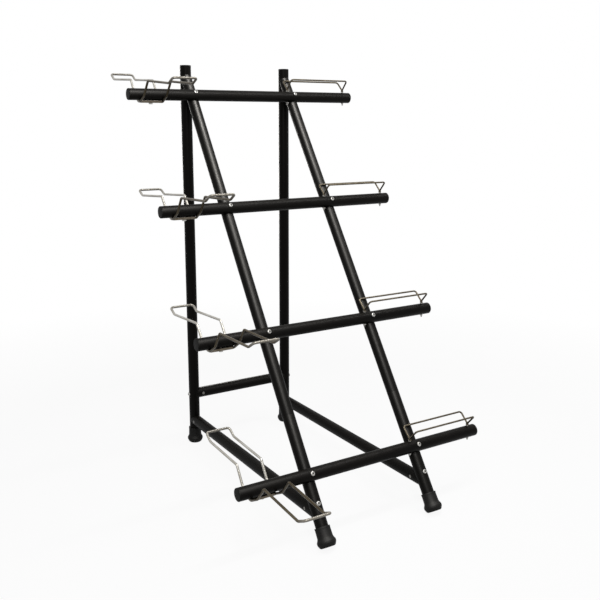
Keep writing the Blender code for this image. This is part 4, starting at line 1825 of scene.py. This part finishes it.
@dataclass
class Studio:
    """Pale floor and surround, plain soft light and the camera."""

    palette: Palette
    eye: tuple[float, float, float] = (-1.39078, -2.20655, 1.24101)
    pitch: float = -0.1935
    yaw: float = 0.5442
    roll: float = 0.0022
    lens: float = 46.191
    shift: tuple[float, float] = (0.018688, -0.0424)
    sight: float = 100.0
    white: Colour = (1.0, 1.0, 1.0)
    ambient: float = 0.20
    floor_size: float = 30.0
    floor_colour: Colour = (0.93, 0.93, 0.93)
    floor_roughness: float = 0.9
    fade: tuple[float, float] = (1.3, 2.8)
    glow: float = 0.92

    def background_rays(self, sketch: Sketch) -> Socket:
        """Add the nodes that tell the rays that show the surround.

        Args:
            sketch: Sketch on the tree of the surround or floor.

        Returns:
            1 for camera, glossy and transmission rays.
        """
        rays = sketch.node("ShaderNodeLightPath").outputs
        seen = sketch.math("MAXIMUM", rays["Is Camera Ray"], rays["Is Glossy Ray"])
        return sketch.math("MAXIMUM", seen, rays["Is Transmission Ray"])

    def build_world(self) -> None:
        """Build a white surround that lights the stand more gently than it shows."""
        world = bpy.data.worlds.new("white_surround")
        world.use_nodes = True
        bpy.context.scene.world = world
        sketch = Sketch(world.node_tree)
        background = world.node_tree.nodes["Background"]
        sketch.feed(background.inputs["Color"], (*self.white, 1.0))
        strength = sketch.ramp(self.background_rays(sketch), (0.0, 1.0), (self.ambient, 1.0))
        sketch.feed(background.inputs["Strength"], strength)

    def build_floor(self) -> None:
        """Build the pale floor, which fades into the surround and keeps the stand's shadow."""
        surface = Surface("pale_floor", self.floor_colour)
        looks = {"Base Color": (*self.floor_colour, 1.0), "Roughness": self.floor_roughness,
                 "Specular IOR Level": 0.0}
        for name, value in looks.items():
            surface.feed(surface.shader.inputs[name], value)
        white = surface.node("ShaderNodeEmission", {"Color": (*self.white, 1.0), "Strength": 1.0})
        away = surface.node("ShaderNodeVectorMath", {0: surface.here()}, operation="LENGTH").outputs["Value"]
        faded = surface.ramp(away, self.fade, (self.glow, 1.0))
        share = surface.math("MULTIPLY", self.background_rays(surface), faded)
        mix = surface.node("ShaderNodeMixShader", {
            0: share, 1: surface.shader.outputs["BSDF"], 2: white.outputs["Emission"]})
        surface.feed(surface.tree.nodes["Material Output"].inputs["Surface"], mix.outputs["Shader"])
        half = self.floor_size / 2
        mesh = bpy.data.meshes.new("floor")
        corners = [(-half, -half, 0), (half, -half, 0), (half, half, 0), (-half, half, 0)]
        mesh.from_pydata(corners, [], [(0, 1, 2, 3)])
        mesh.materials.append(surface.material)
        link("floor", mesh)

    def build_lamps(self) -> None:
        """Build the lamps."""
        ahead, across, warm = (-0.52, -0.85, 0.0), (1.0, 0.0, 0.0), (1.0, 0.97, 0.92)
        lamps = (
            Lamp("front_lamp", (-0.70, -1.20, 2.50), (0.0, 0.0, 0.7), ahead, (2.3, 0.20), 32.0),
            Lamp("ceiling_lamp", (0.85, -0.50, 2.50), (0.1, -0.1, 0.7), across, (1.7, 0.18), 20.0),
            Lamp("front_sheen", (-0.60, -1.33, 2.52), (0.0, 0.0, 0.7), ahead, (2.4, 0.80), 385.0, warm,
                 ("leg", "display", "bar", "base", "crossbar", "front_ferrule", "rear_ferrule")),
            Lamp("top_sheen", (-0.10, -0.33, 2.60), (0.0, 0.35, 1.2), ahead, (0.9, 0.40), 210.0, warm,
                 ("leg",)),
            Lamp("ceiling_sheen", (0.87, -0.52, 2.52), (0.1, -0.1, 0.7), across, (1.8, 0.35), 15.0,
                 (1.0, 0.95, 0.88), ("",)),
            Lamp("rear_sheen", (0.45, 2.90, 1.10), (0.0, 0.3, 0.8), across, (1.8, 1.20), 80.0, warm,
                 ("post", "leg", "crossbar", "rear_ferrule")),
        )
        finishes = (self.palette.coat, self.palette.cap, self.palette.rubber)
        meshes = [obj for obj in bpy.context.scene.objects if obj.type == "MESH" and obj.data.materials]
        black = [obj for obj in meshes if obj.data.materials[0] in finishes]
        for lamp in lamps:
            lamp.build(black)

    def build_camera(self) -> None:
        """Build the camera at the photograph's place, direction and lens."""
        level = math.cos(self.pitch)
        forward = Vector((math.sin(self.yaw) * level, math.cos(self.yaw) * level, math.sin(self.pitch)))
        right = Vector((math.cos(self.yaw), -math.sin(self.yaw), 0))
        down = forward.cross(right)
        across = right * math.cos(self.roll) + down * math.sin(self.roll)
        along = down * math.cos(self.roll) - right * math.sin(self.roll)
        data = bpy.data.cameras.new("camera")
        data.lens = self.lens
        data.shift_x, data.shift_y = self.shift
        data.clip_end = self.sight
        camera = bpy.data.objects.new("camera", data)
        turn = Matrix((across, -along, -forward)).transposed().to_4x4()
        camera.matrix_world = placed(Vector(self.eye), turn)
        bpy.context.scene.collection.objects.link(camera)
        bpy.context.scene.camera = camera

    def build(self) -> None:
        """Build the studio."""
        bpy.context.scene.view_settings.view_transform = "Standard"
        self.build_world()
        self.build_floor()
        self.build_lamps()
        self.build_camera()


def main() -> None:
    """Build every piece, then the studio."""
    logging.basicConfig(level=logging.INFO, format="%(message)s")
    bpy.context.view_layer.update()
    plan = Plan()
    palette = Palette()
    kit = (plan, palette, Trees(), Fastener(plan))
    cradle = Cradle(*kit)
    trough = Trough(*kit)
    FrameTubes(*kit).build()
    FrameBolts(*kit).build()
    EndCaps(*kit).build()
    Feet(*kit).build()
    Bars(*kit, cradle, trough).build()
    cradle.build()
    trough.build()
    Studio(palette).build()


if __name__ == "__main__":
    main()
